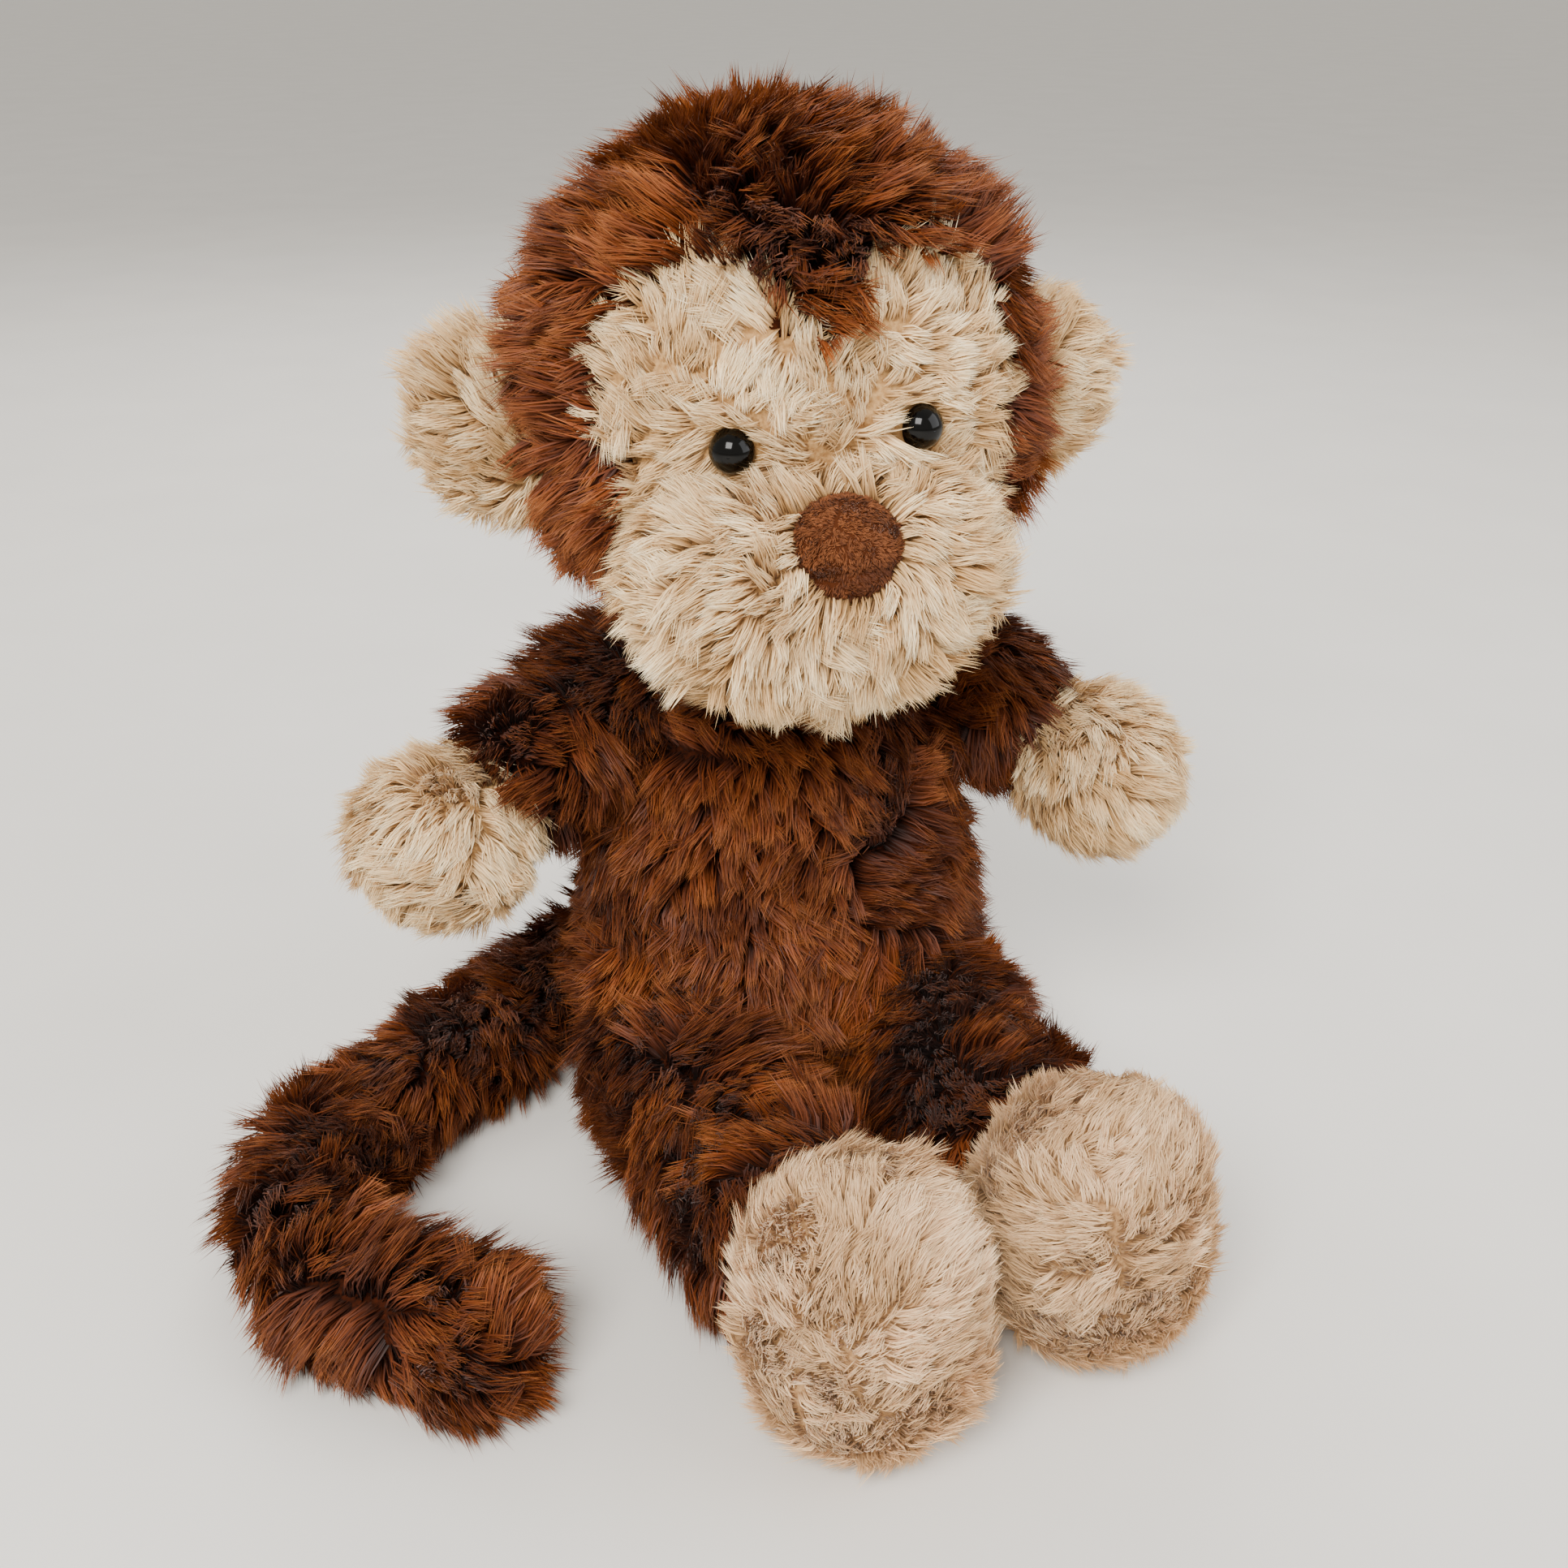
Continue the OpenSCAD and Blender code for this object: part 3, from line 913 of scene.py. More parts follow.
    def blade_mesh(self, name: str, ring: Points, uv: np.ndarray) -> bpy.types.Object:
        """Writes one piece of pile, a four-sided and a three-sided face for each strand.

        Args:
            name: the piece's name.
            ring: the five points of each strand.
            uv: the map's two coordinates at each strand's corners.

        Returns:
            The piece.
        """
        count = len(ring)
        mesh = bpy.data.meshes.new(name)
        mesh.vertices.add(count * BLADE_POINTS)
        mesh.vertices.foreach_set("co", (ring * MM).astype(np.float32).ravel())
        each = np.arange(count, dtype=np.int32)[:, None]
        corners = np.array(BLADE_CORNERS, np.int32)[None, :] + BLADE_POINTS * each
        mesh.loops.add(count * len(BLADE_CORNERS))
        mesh.loops.foreach_set("vertex_index", corners.ravel())
        starts = np.array([0, 4], np.int32)[None, :] + len(BLADE_CORNERS) * each
        mesh.polygons.add(count * 2)
        mesh.polygons.foreach_set("loop_start", starts.ravel())
        layer = mesh.uv_layers.new(name=FUR_MAP)
        layer.uv.foreach_set("vector", uv.ravel())
        mesh.update(calc_edges=True)
        mesh.validate()
        mesh.materials.append(Wardrobe.strands(self.finish))
        o = bpy.data.objects.new(name, mesh)
        bpy.context.scene.collection.objects.link(o)
        return o


class Wardrobe:
    """Keeps one material for each finish."""

    made: dict[str, bpy.types.Material] = {}

    @classmethod
    def strands(cls, finish: Finishes) -> bpy.types.Material:
        """The strands' material of a pile.

        Args:
            finish: the pile's finish.

        Returns:
            The material.
        """
        key = finish.name + "/strands"
        if key not in cls.made:
            cls.made[key] = finish.value.strands()
        return cls.made[key]

    @classmethod
    def backing(cls, finish: Finishes) -> bpy.types.Material:
        """The backing cloth's material of a pile.

        Args:
            finish: the pile's finish.

        Returns:
            The material.
        """
        key = finish.name + "/backing"
        if key not in cls.made:
            cls.made[key] = finish.value.backing()
        return cls.made[key]

    @classmethod
    def fitting(cls, fitting: Fitting) -> bpy.types.Material:
        """The material of a fitting.

        Args:
            fitting: the fitting's finish.

        Returns:
            The material.
        """
        if fitting.name not in cls.made:
            cls.made[fitting.name] = fitting.value.material()
        return cls.made[fitting.name]


BODY_PILE = Pile(12.5, 48, 3.75, 0.44, 2.9, 14, 48, 0.5, Finishes.LONG, highlight_tint=0.5)
TORSO_PILE = replace(BODY_PILE, tuft=17, swirl=66)
HEAD_PILE = Pile(14.0, 38, 3.75, 0.44, 3.2, 13, 56, 0.52, Finishes.HEAD, highlight_tint=0.5)
FACE_PILE = Pile(8.0, 52, 4.6, 0.36, 2.4, 8, 46, 0.48, Finishes.FACE, mottle=1.7)
MUZZLE_PILE = Pile(9.0, 50, 4.6, 0.36, 2.5, 8, 36, 0.5, Finishes.FACE, mottle=1.7)
HAND_PILE = Pile(8.8, 50, 4.4, 0.36, 2.4, 10, 38, 0.45, Finishes.FACE, mottle=1.7)
FOOT_PILE = Pile(6.8, 56, 4.6, 0.34, 2.0, 11, 42, 0.38, Finishes.FOOT, mottle=1.7)
NOSE_NAP = Pile(1.1, 58, 14.0, 0.2, 0.7, 3, 60, 0.3, Finishes.NOSE)


def dress(
    skin: bpy.types.Object,
    finish: Finishes,
    body: str | tuple,
    replaced: Sequence[str],
    piles: Sequence[bpy.types.Object],
) -> None:
    """Gives a skin its cloth and hides the nodes that it stands for; the skin and its pile ride on one body,
    or stay fixed in place.

    Args:
        skin: the closed skin.
        finish: its pile's finish.
        body: the body that it rides on, or a tuple of two bodies with a start and an end, whose contents are
            not used: the skin and its pile then stay fixed in place.
        replaced: the nodes that it stands for.
        piles: the pieces of pile that grow on it.
    """
    skin.data.materials.clear()
    skin.data.materials.append(Wardrobe.backing(finish))
    for face in skin.data.polygons:
        face.use_smooth = True
    for o in (skin, *piles):
        if isinstance(body, str):
            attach(o, body)
        else:
            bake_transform(o)
    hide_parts(*replaced)
    LOG.info("%s stands for %s", skin.name, ", ".join(replaced))


# ---------------------------------------------------------------- the toy


@dataclass
class Studio:
    """The camera, the floor and the soft lights."""

    aim: tuple[float, float, float] = (-1.6, -16.1, 91.6)
    distance: float = 421.4
    azimuth: float = -18.3
    fall: float = 26.8
    lens: float = 39.1
    floor_size: float = 24.0

    def camera(self) -> None:
        """Places the camera."""
        a, p = math.radians(self.azimuth), math.radians(self.fall)
        look = Vector((-math.sin(a) * math.cos(p), math.cos(a) * math.cos(p), -math.sin(p)))
        pick_none()
        bpy.ops.object.camera_add(
            location=(Vector(self.aim) - look * self.distance) * MM,
            rotation=look.to_track_quat("-Z", "Y").to_euler(),
        )
        camera = bpy.context.object
        camera.data.lens = self.lens
        camera.data.sensor_width = 36
        camera.data.clip_start = 0.01
        bpy.context.scene.camera = camera

    def light(
        self, place: tuple[float, float, float], size: float, power: float, warmth: tuple[float, float, float]
    ) -> None:
        """Adds one soft area light that faces the toy.

        Args:
            place: where it hangs, in metres.
            size: the length of its sides.
            power: its power in watts.
            warmth: its colour.
        """
        pick_none()
        way = Vector((0, 0, 0.11)) - Vector(place)
        turn = way.to_track_quat("-Z", "Y").to_euler()
        bpy.ops.object.light_add(type="AREA", location=place, rotation=turn)
        lamp = bpy.context.object.data
        lamp.size = size
        lamp.energy = power
        lamp.color = warmth

    def build(self) -> None:
        """Makes the floor, the lights and the world."""
        pick_none()
        bpy.ops.mesh.primitive_plane_add(size=self.floor_size, location=(0, 0, 0))
        floor = bpy.context.object
        floor.name = "floor"
        g = Graph("floor_paint")
        value = g.noise(14.0)
        colour = g.ramp(value, [(0.2, linear((222, 219, 213))), (0.8, linear((228, 225, 219)))])
        g.link(colour, g.shader.inputs["Base Color"])
        g.set(Roughness=0.8)
        floor.data.materials.append(g.material)
        floor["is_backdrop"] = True
        self.light((-0.55, -0.75, 0.95), 0.6, 24.0, (1.0, 0.97, 0.93))
        self.light((0.8, -0.5, 0.6), 0.9, 8.0, (0.95, 0.97, 1.0))
        self.light((0.1, 0.8, 0.9), 0.8, 8.0, (1.0, 0.98, 0.96))
        world = bpy.data.worlds.new("studio")
        bpy.context.scene.world = world
        world.use_nodes = True
        sky = world.node_tree.nodes["Background"]
        sky.inputs["Color"].default_value = linear((232, 228, 222))
        sky.inputs["Strength"].default_value = 0.95


@dataclass
class Torso:
    """The torso: a bolster of brown plush, flat where it sits, with a short neck."""

    belly: tuple[float, float, float] = (48, 39, 39)
    belly_z: float = 40
    chest: tuple[float, float, float] = (40.2, 35, 32)
    chest_z: float = 94
    seat: float = 34
    neck: Points = field(default_factory=lambda: vec(0, 1, 133))
    neck_r: float = 15.3
    body: Bolster = Bolster(
        ((0, 36, 29), (12, 44, 36), (40, 48, 39), (94, 40, 35), (110, 34, 30), (122, 20, 18), (127, 8, 7)),
        127,
    )

    def skin(self) -> bpy.types.Object:
        """Builds the torso's closed skin."""
        parts = [
            stuffed_ball(vec(0, 0, self.belly_z), self.belly),
            stuffed_ball(vec(0, 0, self.chest_z), self.chest),
        ]
        pick_none()
        bpy.ops.mesh.primitive_cylinder_add(
            vertices=48, radius=self.seat * MM, depth=2 * MM, location=(0, 0, 1.4 * MM)
        )
        disc = bpy.context.object
        disc.scale = (1, 0.82, 1)
        parts.append(settle(disc, "seat"))
        pick(*parts)
        bpy.ops.object.join()
        bpy.ops.object.mode_set(mode="EDIT")
        bpy.ops.mesh.select_all(action="SELECT")
        bpy.ops.mesh.convex_hull()
        bpy.ops.object.mode_set(mode="OBJECT")
        skin = sew("torso_skin", [bpy.context.object], voxel=4.0, soften=4)
        inflate(skin, 1.6)
        lump(skin, 0.9, 46, 11)
        apply(skin, "SUBSURF", levels=1, render_levels=1)
        on_ground(skin)
        return skin

    def comb(self, p: Points, n: Points) -> Points:
        """Down the body, fanning out from the neck."""
        return vec(0, 0, -1) + 0.25 * unit(p * vec(1, 1, 0))

    def build(self, limbs: Sequence[Rod]) -> None:
        """Builds the torso and the neck.

        Args:
            limbs: the bodies of the limbs that are sewn to it.
        """
        skin = self.skin()
        pile = TORSO_PILE.grow("torso_pile", skin, self.comb, 21, avoid=limbs)
        dress(skin, Finishes.LONG, "torso", ("torso_front", "torso_back", "torso_stuffing"), pile)
        neck = sew("neck_skin", [stuffed_ball(self.neck, (self.neck_r,) * 3)])
        pile = BODY_PILE.grow(
            "neck_pile", neck, lambda p, n: vec(0, 0, -1) + 0.6 * unit(p - self.neck), 22,
            keep=lambda p: (p[:, 2] > 122) & (p[:, 2] < 140),
        )
        dress(neck, Finishes.LONG, "neck", ("neck_stuffing",), pile)


@dataclass
class Head:
    """The head: a ball of rust plush with a pale heart-shaped face, a muzzle, a nose and eyes."""

    at: Points = field(default_factory=lambda: vec(0, -4, 189))
    r: float = 54.2
    turn: float = 6
    tilt: float = 4
    brow: Points = field(default_factory=lambda: vec(24, -48, 12))
    brow_r: float = 26
    cheek: Points = field(default_factory=lambda: vec(0, -46, -20))
    cheek_r: float = 42
    muzzle: Points = field(default_factory=lambda: vec(0, -46, -31.5))
    muzzle_r: float = 24.2
    muzzle_half: float = 14.5
    nose_lift: float = 36
    nose_out: float = 18.5
    nose_r: float = 12.3
    eye_turn: float = math.degrees(math.asin(19.5 / 55))
    eye_clear: float = 4.9

    def __post_init__(self) -> None:
        """Works out the head's own axes."""
        self.axes = np.array(Euler((0, math.radians(-self.tilt), math.radians(-self.turn))).to_matrix())

    def out(self, p: Points) -> Points:
        """Places given on the head, in the frame."""
        return p @ self.axes.T + self.at

    def within(self, p: Points) -> Points:
        """Places given in the frame, on the head."""
        return (p - self.at) @ self.axes

    def in_face(self, p: Points, wider: float = 0.0) -> np.ndarray:
        """Says which points lie in the pale face.

        Args:
            p: the points.
            wider: how far past the face's edge still counts.

        Returns:
            True for each point in the face.
        """
        q = self.within(p)
        q = unit(q) * (self.r + 0.8)
        found = np.linalg.norm(q - self.cheek, axis=1) < self.cheek_r + wider
        for side in (-1, 1):
            found |= np.linalg.norm(q - self.brow * vec(side, 1, 1), axis=1) < self.brow_r + wider
        return found & (np.abs(q[:, 0] - 1.5) * 1.15 + 17.5 > q[:, 2] + wider)

    def muzzle_rod(self) -> Rod:
        """The muzzle's body."""
        half = vec(self.muzzle_half, 0, 0)
        return Rod(self.out(self.muzzle - half), self.out(self.muzzle + half), self.muzzle_r)

    def nose_at(self) -> Points:
        """The nose's middle on the head."""
        a = math.radians(self.nose_lift)
        return self.muzzle + self.nose_out * vec(0, -math.cos(a), math.sin(a))

    def eye_at(self, side: int) -> Points:
        """An eye's middle in the frame.

        Args:
            side: -1 for the right eye, 1 for the left.

        Returns:
            The eye's middle.
        """
        a = math.radians(self.eye_turn) * side
        return self.out(vec(math.sin(a), -math.cos(a), 0) * 56.4)

    def ball(self) -> Rod:
        """The head's body."""
        return Rod(self.at, self.at, self.r)

    def comb_head(self, p: Points, n: Points) -> Points:
        """Out from the crown, and forward over the brow.

        Args:
            p: the roots.
            n: the skin's normals there; not used.

        Returns:
            The directions in which the hair is combed.
        """
        q = unit(self.within(p))
        away = q - vec(0, 0.35, 0.94)
        front = np.clip((-q[:, 1:2] - 0.05) / 0.4, 0, 1)
        aside = q - vec(0, -1, -0.15)
        aside[:, 2] = np.minimum(aside[:, 2], 0.25)
        peak = np.exp(-(q[:, :1] / 0.2) ** 2) * np.clip((q[:, 2:] - 0.1) / 0.3, 0, 1) * front
        way = away * (1 - 0.7 * front) + aside * front * 0.7
        return (way * (1 - peak) + vec(0, -0.4, -1) * peak) @ self.axes.T

    def comb_face(self, p: Points, n: Points) -> Points:
        """Away from the bridge of the nose."""
        q = self.within(p) - vec(0, -52, -6)
        return (unit(q) + vec(0, 0, -0.15)) @ self.axes.T

    def comb_muzzle(self, p: Points, n: Points) -> Points:
        """Away from the nose, and a little down."""
        q = self.within(p) - self.nose_at()
        return (unit(q) + vec(0, 0.1, -0.25)) @ self.axes.T

    def build(self) -> None:
        """Builds the head and all that is sewn to it."""
        muzzle_rod = self.muzzle_rod()
        nose = Rod(self.out(self.nose_at()), self.out(self.nose_at()), self.nose_r)
        eyes = [(self.eye_at(side), self.eye_clear) for side in (-1, 1)]

        skin = sew("head_skin", [stuffed_ball(self.at, (self.r - 1.2,) * 3)], voxel=4.0)
        inflate(skin, 1.2)
        lump(skin, 0.8, 40, 31)
        apply(skin, "SUBSURF", levels=1, render_levels=1)
        hair = HEAD_PILE.grow(
            "head_pile", skin, self.comb_head, 32, keep=lambda p: ~self.in_face(p, -1.4), avoid=[muzzle_rod]
        )
        nodes = ("head_skin_right", "head_skin_left", "head_stuffing")
        dress(skin, Finishes.HEAD, "head", nodes, hair)

        mask = self.mask(skin)
        face = FACE_PILE.grow(
            "face_pile", skin, self.comb_face, 33, keep=self.in_face, avoid=[muzzle_rod], clear=eyes
        )
        dress(mask, Finishes.FACE, "head", ("face_mask",), face)

        r = self.muzzle_r
        across = np.linspace(-self.muzzle_half - 2.5, self.muzzle_half - 0.5, 9)
        line = [self.out(self.muzzle + vec(x, 0, 0)) for x in across]
        turn = Matrix(self.axes).to_euler()
        bolster = sew("muzzle_skin", [
            stuffed_tube(line, [r - 2.5] * 9, "bolster"),
            stuffed_ball(line[0] + self.axes @ vec(-0.5, 0, 1), (r - 1.5,) * 3),
            stuffed_ball(line[-1] + self.axes @ vec(-1, 0, 2), (r - 2.5,) * 3),
            stuffed_ball(line[4] + self.axes @ vec(0, 0, -1.4), (r + 6, r, r + 1.2), turn),
        ], soften=10)
        inflate(bolster, 1.0)
        lump(bolster, 0.6, 30, 34)
        pile = MUZZLE_PILE.grow(
            "muzzle_pile", bolster, self.comb_muzzle, 35, avoid=[self.ball(), nose], clear=eyes
        )
        dress(bolster, Finishes.FACE, "head", ("muzzle", "muzzle_stuffing"), pile)
        self.build_nose(muzzle_rod)

    def mask(self, head: bpy.types.Object) -> bpy.types.Object:
        """Cuts the pale face out of a copy of the head's skin and lays it over the head.

        Args:
            head: the head's skin.

        Returns:
            The mask.
        """
        pick(head)
        bpy.ops.object.duplicate()
        mask = bpy.context.object
        mask.name = mask.data.name = "face_mask_skin"
        inside = self.in_face(read_points(mask), 1.0)
        bpy.ops.object.mode_set(mode="EDIT")
        bpy.ops.mesh.select_mode(type="VERT")
        bpy.ops.object.mode_set(mode="OBJECT")
        for face in mask.data.polygons:
            face.select = not all(inside[i] for i in face.vertices)
        for edge in mask.data.edges:
            edge.select = not all(inside[i] for i in edge.vertices)
        for v, found in zip(mask.data.vertices, inside, strict=True):
            v.select = not found
        bpy.ops.object.mode_set(mode="EDIT")
        bpy.ops.mesh.delete(type="VERT")
        bpy.ops.object.mode_set(mode="OBJECT")
        apply(mask, "SOLIDIFY", thickness=1.2 * MM, offset=0.4)
        return mask

    def nose_painted_shade(self, p: Points) -> np.ndarray:
        """Painted shade and light on the nose pad: darker in the pinched crease across it and on its lower
        half, lighter above.
        """
        z = (self.within(p) - self.nose_at())[:, 2]
        return 0.2 * np.tanh((z + 1.5) / 2.0) - 0.3 * np.exp(-((z + 1.5) / 1.3) ** 2)

    def build_nose(self, muzzle: Rod) -> None:
        """Builds the nose pad, pinched across its middle, with its short nap.

        Args:
            muzzle: the muzzle's body.
        """
        middle = self.out(self.nose_at())
        turn = Matrix(self.axes).to_euler()
        radii = (self.nose_r, self.nose_r * 0.98, self.nose_r * 0.9)
        pad = sew("nose_skin", [stuffed_ball(middle, radii, turn)], voxel=1.4)
        p = read_points(pad)
        q = (p - middle) @ self.axes
        line = np.exp(-((q[:, 2] + 1.0 + 0.02 * q[:, 0] ** 2) / 1.5) ** 2)
        crease = line * np.clip(-q[:, 1] / 8, 0, 1) * 1.3
        write_points(pad, p - unit(p - middle) * crease[:, None])
        # The nap gets painted shade in the crease and on the lower half of the pad, and painted light above.
        nap = NOSE_NAP.grow(
            "nose_nap", pad, lambda p, n: vec(0, 0, -1) + 0 * p, 41, avoid=[muzzle], painted_shade=self.nose_painted_shade
        )
        dress(pad, Finishes.NOSE, "head", ("nose",), nap)


@dataclass
class Ear:
    """An ear: a thin puffy lens of pale plush at the side of the head."""

    side: Side
    head: Head
    out: float = 62
    drop: tuple[float, float] = (-3, -9)
    turn: float = 20
    radii: tuple[float, float, float] = (19.4, 6.8, 19.4)

    def build(self) -> None:
        """Builds the ear."""
        s, label = self.side.value, self.side.label
        fall = self.drop[self.side is Side.LEFT]
        middle = self.head.out(vec(self.out * s, 1, fall))
        spin = np.array(Euler((0, 0, math.radians(self.turn * s))).to_matrix())
        turn = Matrix(self.head.axes @ spin).to_euler()
        skin = sew(f"ear_skin_{label}", [stuffed_ball(middle, self.radii, turn)], voxel=2.4)
        inflate(skin, 1.0)
        root = self.head.out(vec(46 * s, 0, fall))
        pile = HAND_PILE.grow(
            f"ear_pile_{label}", skin, lambda p, n: unit(p - root), 51 + s, avoid=[self.head.ball()]
        )
        nodes = [f"ear_{part}_{label}" for part in ("front", "back", "stuffing")]
        dress(skin, Finishes.FACE, f"ear_{label}", nodes, pile)


@dataclass
class Arm:
    """An arm: a brown sleeve and a pale mitten hand."""

    side: Side
    way: tuple[float, float, float]
    shoulder_x: float = 38
    shoulder_z: float = 115
    r: float = 14.2
    length: float = 38
    hand_r: float = 18.3
    hand_out: float = 18
    wrist_r: float = 12.2

    def __post_init__(self) -> None:
        """Works out the arm's places."""
        self.dir = unit(vec(*self.way))
        self.shoulder = vec(self.side.value * self.shoulder_x, 2, self.shoulder_z)
        self.wrist = self.shoulder + self.dir * self.length
        self.palm = self.wrist + self.dir * self.hand_out

    def rods(self) -> list[Rod]:
        """The sleeve's and the hand's bodies."""
        return [Rod(self.shoulder, self.wrist - self.dir * 6, self.r), Rod(self.palm, self.palm, self.hand_r)]

    def comb(self, p: Points, n: Points) -> Points:
        """Along the arm, falling a little."""
        return self.dir + vec(0, 0, -0.3) + 0 * p

    def build(self, avoid: Sequence[Rod | Bolster]) -> None:
        """Builds the sleeve and the hand.

        Args:
            avoid: the bodies beside the arm.
        """
        s, label = self.side.value, self.side.label
        sleeve = Rod(self.shoulder, self.wrist - self.dir * 6, self.r - 1.5)
        fist = Rod(self.palm, self.palm, self.hand_r - 3.5)
        cuff = self.wrist - self.dir * 3
        line = [self.shoulder + (cuff - self.shoulder) * t for t in np.linspace(0, 1, 7)]
        radii = [self.r * f for f in (1, 1, 1.02, 1.04, 1.06, 1.06, 1.0)]
        skin = sew(f"sleeve_skin_{label}", [
            stuffed_tube(line, radii, "tube"),
            stuffed_ball(self.shoulder, (self.r,) * 3),
        ])
        inflate(skin, 1.2)
        lump(skin, 0.7, 26, 61 + s)
        pile = BODY_PILE.grow(f"sleeve_pile_{label}", skin, self.comb, 63 + s, avoid=[*avoid, fist])
        nodes = (f"sleeve_{label}", f"arm_stuffing_{label}")
        dress(skin, Finishes.LONG, f"arm_{label}", nodes, pile)

        turn = Vector(self.dir).to_track_quat("Z", "Y").to_euler()
        hand = sew(f"hand_skin_{label}", [
            stuffed_ball(self.palm, (self.hand_r * 1.02, self.hand_r * 0.94, self.hand_r * 1.02), turn),
            stuffed_ball(self.wrist + self.dir * 2, (self.wrist_r - 1.5,) * 3),
        ])
        inflate(hand, 0.8)
        lump(hand, 0.6, 22, 71 + s)
        pile = HAND_PILE.grow(f"hand_pile_{label}", hand, self.comb, 73 + s, avoid=[*avoid, sleeve])
        nodes = [f"hand_{part}_{label}" for part in ("back", "palm", "stuffing")]
        dress(hand, Finishes.FACE, f"hand_{label}", nodes, pile)


@dataclass
class Leg:
    """A leg: one straight sewn tube, and a big foot that stands on its heel."""

    side: Side
    hip_y: float
    turn: float
    foot_turn: float
    hip_x: float = 33
    hip_z: float = 21
    r: float = 19.6
    length: float = 78
    ankle_r: float = 14.8
    foot_out: float = 27
    foot_r: float = 22.3
    foot_half: float = 7.4
    foot_lean: float = 8
    foot_wide: float = 1.06

    def __post_init__(self) -> None:
        """Works out the leg's places."""
        self.dir = flat_way(-90 + self.turn)
        self.hip = vec(self.side.value * self.hip_x, self.hip_y, self.hip_z)
        self.knee = self.hip + self.dir * self.length / 2
        self.ankle = self.hip + self.dir * self.length
        self.foot = self.ankle + self.dir * self.foot_out + vec(0, 0, 30 - 20.5)
        self.foot_axes = Euler((0, 0, math.radians(self.turn + self.foot_turn))).to_matrix() @ Euler(
            (math.radians(-self.foot_lean), 0, 0)).to_matrix()

    def rods(self) -> list[Rod]:
        """The leg's and the foot's bodies."""
        up = np.array(self.foot_axes) @ vec(0, 0, self.foot_half)
        return [
            Rod(self.hip, self.ankle - self.dir * 8, self.r),
            Rod(self.foot - up, self.foot + up, self.foot_r),
        ]

    def comb_leg(self, p: Points, n: Points) -> Points:
        """Along the leg and down its sides."""
        return self.dir + vec(0, 0, -0.35) + 0 * p

    def comb_foot(self, p: Points, n: Points) -> Points:
        """Up the foot, with a turn round the sole.

        Args:
            p: the roots.
            n: the skin's normals there; not used.

        Returns:
            The directions in which the pile is combed.
        """
        axes = np.array(self.foot_axes)
        q = (p - self.foot) @ axes
        swirl = np.cross(unit(q), vec(0, -1, 0)) * 0.7
        return (vec(-0.35 * self.side.value, 0, 1) + swirl) @ axes.T

    def build(self, avoid: Sequence[Rod | Bolster], others: Sequence[Rod]) -> None:
        """Builds the leg and the foot.

        Args:
            avoid: the bodies beside the leg.
            others: the bodies beside the foot.
        """
        s, label = self.side.value, self.side.label
        leg, boot = self.rods()
        line = [self.hip + self.dir * t for t in np.linspace(0, self.length - 3, 9)]
        radii = [self.r * f for f in (1, 1, 1, 0.985, 0.97, 0.985, 1.0, 1.0, 0.95)]
        skin = sew(f"leg_skin_{label}", [
            stuffed_tube(line, radii, "tube"),
            stuffed_ball(self.hip, (self.r,) * 3),
        ])
        inflate(skin, 1.0)
        lump(skin, 0.9, 32, 81 + s)
        on_ground(skin)
        pile = BODY_PILE.grow(f"leg_pile_{label}", skin, self.comb_leg, 83 + s, avoid=[*avoid, boot])
        bend = (f"thigh_{label}", f"shin_{label}", self.knee - self.dir * 11, self.knee + self.dir * 11)
        nodes = [f"{part}_{label}" for part in ("thigh", "thigh_stuffing", "shin", "shin_stuffing")]
        dress(skin, Finishes.LONG, bend, nodes, pile)

        up = np.array(self.foot_axes) @ vec(0, 0, self.foot_half)
        turn = self.foot_axes.to_euler()
        wide = (self.foot_r * self.foot_wide, self.foot_r * 0.98, self.foot_r)
        foot = sew(f"foot_skin_{label}", [
            stuffed_ball(self.foot + up, wide, turn),
            stuffed_ball(self.foot, wide, turn),
            stuffed_ball(self.foot - up, wide, turn),
            stuffed_ball(self.ankle, (self.ankle_r,) * 3),
        ])
        inflate(foot, 0.8)
        lump(foot, 0.8, 26, 91 + s)
        on_ground(foot)
        pile = FOOT_PILE.grow(f"foot_pile_{label}", foot, self.comb_foot, 93 + s, avoid=[leg, *others])
        nodes = [f"foot_{part}_{label}" for part in ("upper", "sole", "stuffing")]
        dress(foot, Finishes.FOOT, f"foot_{label}", nodes, pile)


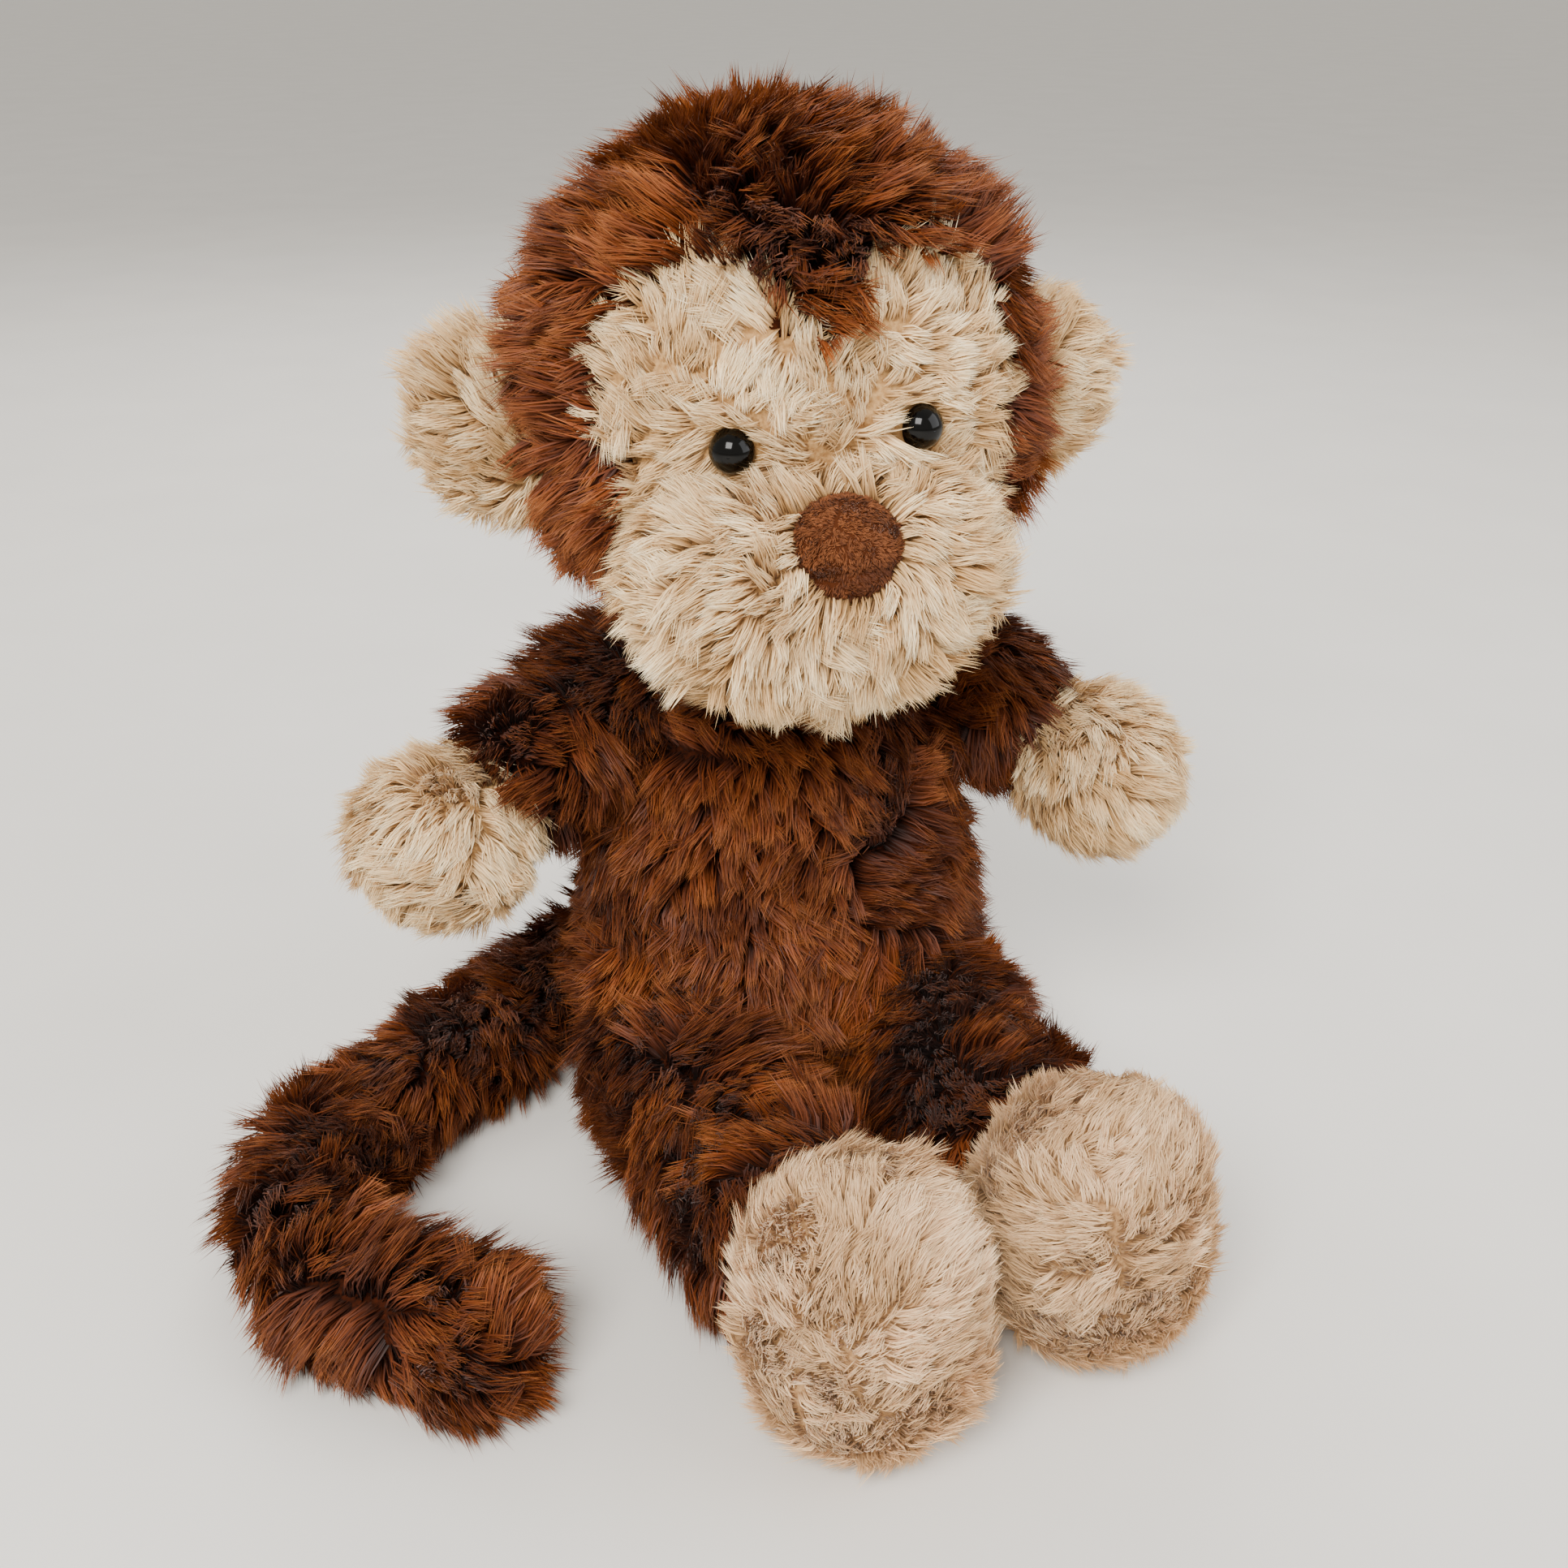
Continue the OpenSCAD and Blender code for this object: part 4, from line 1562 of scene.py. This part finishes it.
@dataclass
class Tail:
    """The tail: one long tube that lies curled on the ground, cut into three pieces."""

    at: Points = field(default_factory=lambda: vec(0, 43, 13.5))
    heading: float = 165
    chain: tuple[tuple[float, float], ...] = ((62, 55), (72, 0), (76, 100), (20, 0))
    r: float = 11.6
    step: float = 3.0

    def __post_init__(self) -> None:
        """Walks along the chain and keeps the middle line, its headings and the places of the joints."""
        p, heading = self.at.copy(), self.heading
        self.line, self.headings, self.joints = [p.copy()], [heading], [(p.copy(), heading)]
        self.marks = [0]
        for run, bend in self.chain:
            steps = max(1, round(run / self.step))
            for _ in range(steps):
                p = p + flat_way(heading + bend / steps / 2) * run / steps
                heading += bend / steps
                self.line.append(p.copy())
                self.headings.append(heading)
            self.joints.append((p.copy(), heading))
            self.marks.append(len(self.line) - 1)

    def rods(self) -> list[Rod]:
        """The tail's body."""
        return [Rod(a, b, self.r) for a, b in zip(self.line[::4], self.line[4::4], strict=False)]

    def cut(self, k: int) -> tuple[Points, Points]:
        """The place and direction halfway along stretch k, where the tail is divided."""
        i = (self.marks[k] + self.marks[k + 1]) // 2
        return self.line[i], flat_way(self.headings[i])

    def comb(self, p: Points, n: Points) -> Points:
        """Along the tail towards its tip.

        Args:
            p: the roots.
            n: the skin's normals there; not used.

        Returns:
            The directions in which the pile is combed.
        """
        i = nearest(np.array(self.line), p)
        a = np.radians(np.array(self.headings))[i]
        return np.stack([np.cos(a), np.sin(a), np.full(len(a), -0.15)], axis=1)

    def build(self, avoid: Sequence[Rod | Bolster]) -> None:
        """Builds the tail.

        Args:
            avoid: the bodies beside the tail.
        """
        radii = [self.r * (1 + 0.03 * math.sin(i * 0.9)) for i in range(len(self.line))]
        skin = sew("tail_skin", [
            stuffed_tube(self.line, radii, "tube"),
            stuffed_ball(self.line[0], (self.r,) * 3),
            stuffed_ball(self.line[-1], (self.r,) * 3),
        ])
        inflate(skin, 0.8)
        lump(skin, 0.7, 28, 101)
        on_ground(skin)
        first, second = self.cut(1), self.cut(2)
        spans = (
            ("root", "tail_root", "tail_fore", None, first, ("tail_root",)),
            ("middle", "tail_fore", "tail_bend", first, second, ("tail_fore",)),
            ("tip", "tail_bend", "tail_tip", second, None, ("tail_bend", "tail_tip")),
        )
        for k, (label, a, b, after, before, nodes) in enumerate(spans):
            piece = self.divide(skin, f"tail_skin_{label}", after, before)

            def keep(
                p: Points, after: tuple | None = after, before: tuple | None = before
            ) -> np.ndarray:
                """Says which roots belong to this piece.

                Args:
                    p: the roots.
                    after: the cut that the piece starts at.
                    before: the cut that it ends at.

                Returns:
                    True for each root of this piece.
                """
                found = np.ones(len(p), bool)
                if after is not None:
                    found &= (p - after[0]) @ after[1] >= 0
                if before is not None:
                    found &= (p - before[0]) @ before[1] < 0
                return found

            pile = BODY_PILE.grow(f"tail_pile_{label}", skin, self.comb, 103 + k, keep=keep, avoid=avoid)
            joint, heading = self.joints[k + 1]
            reach = flat_way(heading) * 8
            dress(piece, Finishes.LONG, (a, b, joint - reach, joint + reach), nodes, pile)
        bpy.data.objects.remove(skin)

    def divide(
        self, whole: bpy.types.Object, name: str, after: tuple | None, before: tuple | None
    ) -> bpy.types.Object:
        """Copies the stretch of tail between two cuts as a closed piece.

        Args:
            whole: the whole tail's skin.
            name: the new piece's name.
            after: place and direction of the cut that it starts at.
            before: place and direction of the cut that it ends at.

        Returns:
            The piece.
        """
        pick(whole)
        bpy.ops.object.duplicate()
        piece = bpy.context.object
        piece.name = piece.data.name = name
        bpy.ops.object.mode_set(mode="EDIT")
        for cut, ahead in ((after, False), (before, True)):
            if cut is not None:
                bpy.ops.mesh.select_all(action="SELECT")
                bpy.ops.mesh.bisect(
                    plane_co=tuple(cut[0] * MM), plane_no=tuple(cut[1]), use_fill=True,
                    clear_inner=not ahead, clear_outer=ahead,
                )
        bpy.ops.object.mode_set(mode="OBJECT")
        return piece


@dataclass
class Fittings:
    """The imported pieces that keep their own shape: eyes, washers, filling, beads and thread."""

    by_word: tuple[tuple[str, Fitting], ...] = (
        ("eye_washer", Fitting.WASHER),
        ("eye", Fitting.EYE),
        ("thread", Fitting.THREAD),
        ("pouch", Fitting.POUCH),
        ("beads", Fitting.BEADS),
        ("stuffing", Fitting.STUFFING),
    )

    def build(self, nodes: dict[str, bpy.types.Object]) -> None:
        """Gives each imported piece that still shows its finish.

        Args:
            nodes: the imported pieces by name.
        """
        for name, node in nodes.items():
            if node.hide_render:
                continue
            found = next((f for word, f in self.by_word if word in name), None)
            if found is None:
                LOG.warning("%s has no finish", name)
                continue
            node.data.materials.clear()
            node.data.materials.append(Wardrobe.fitting(found))
            LOG.info("%s keeps its shape", name)


def main() -> None:
    """Builds the toy around the frame."""
    logging.basicConfig(level=logging.INFO, format="%(name)s: %(message)s")
    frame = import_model()
    studio = Studio()
    studio.camera()

    torso, head, tail = Torso(), Head(), Tail()
    arms = [Arm(Side.RIGHT, (-48, -17, -26)), Arm(Side.LEFT, (42, -35, -26))]
    legs = [Leg(Side.RIGHT, -25, 6, -8), Leg(Side.LEFT, -15, 1, 12)]
    arm_rods = [r for a in arms for r in a.rods()]
    leg_rods = [leg.rods() for leg in legs]

    torso.build([*arm_rods, leg_rods[0][0], leg_rods[1][0], *tail.rods()[:3], head.ball()])
    head.build()
    for side in Side:
        Ear(side, head).build()
    for arm in arms:
        arm.build([torso.body, head.ball(), head.muzzle_rod()])
    for i, leg in enumerate(legs):
        leg.build([torso.body, leg_rods[1 - i][0]], [leg_rods[1 - i][1]])
    tail.build([torso.body, *leg_rods[0]])
    Fittings().build(frame["nodes"])
    studio.build()

    counts = [sum(len(f.vertices) - 2 for f in o.data.polygons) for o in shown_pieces()]
    LOG.info("%d pieces, %d triangles, at most %d in one", len(counts), sum(counts), max(counts))


if __name__ == "__main__":
    main()
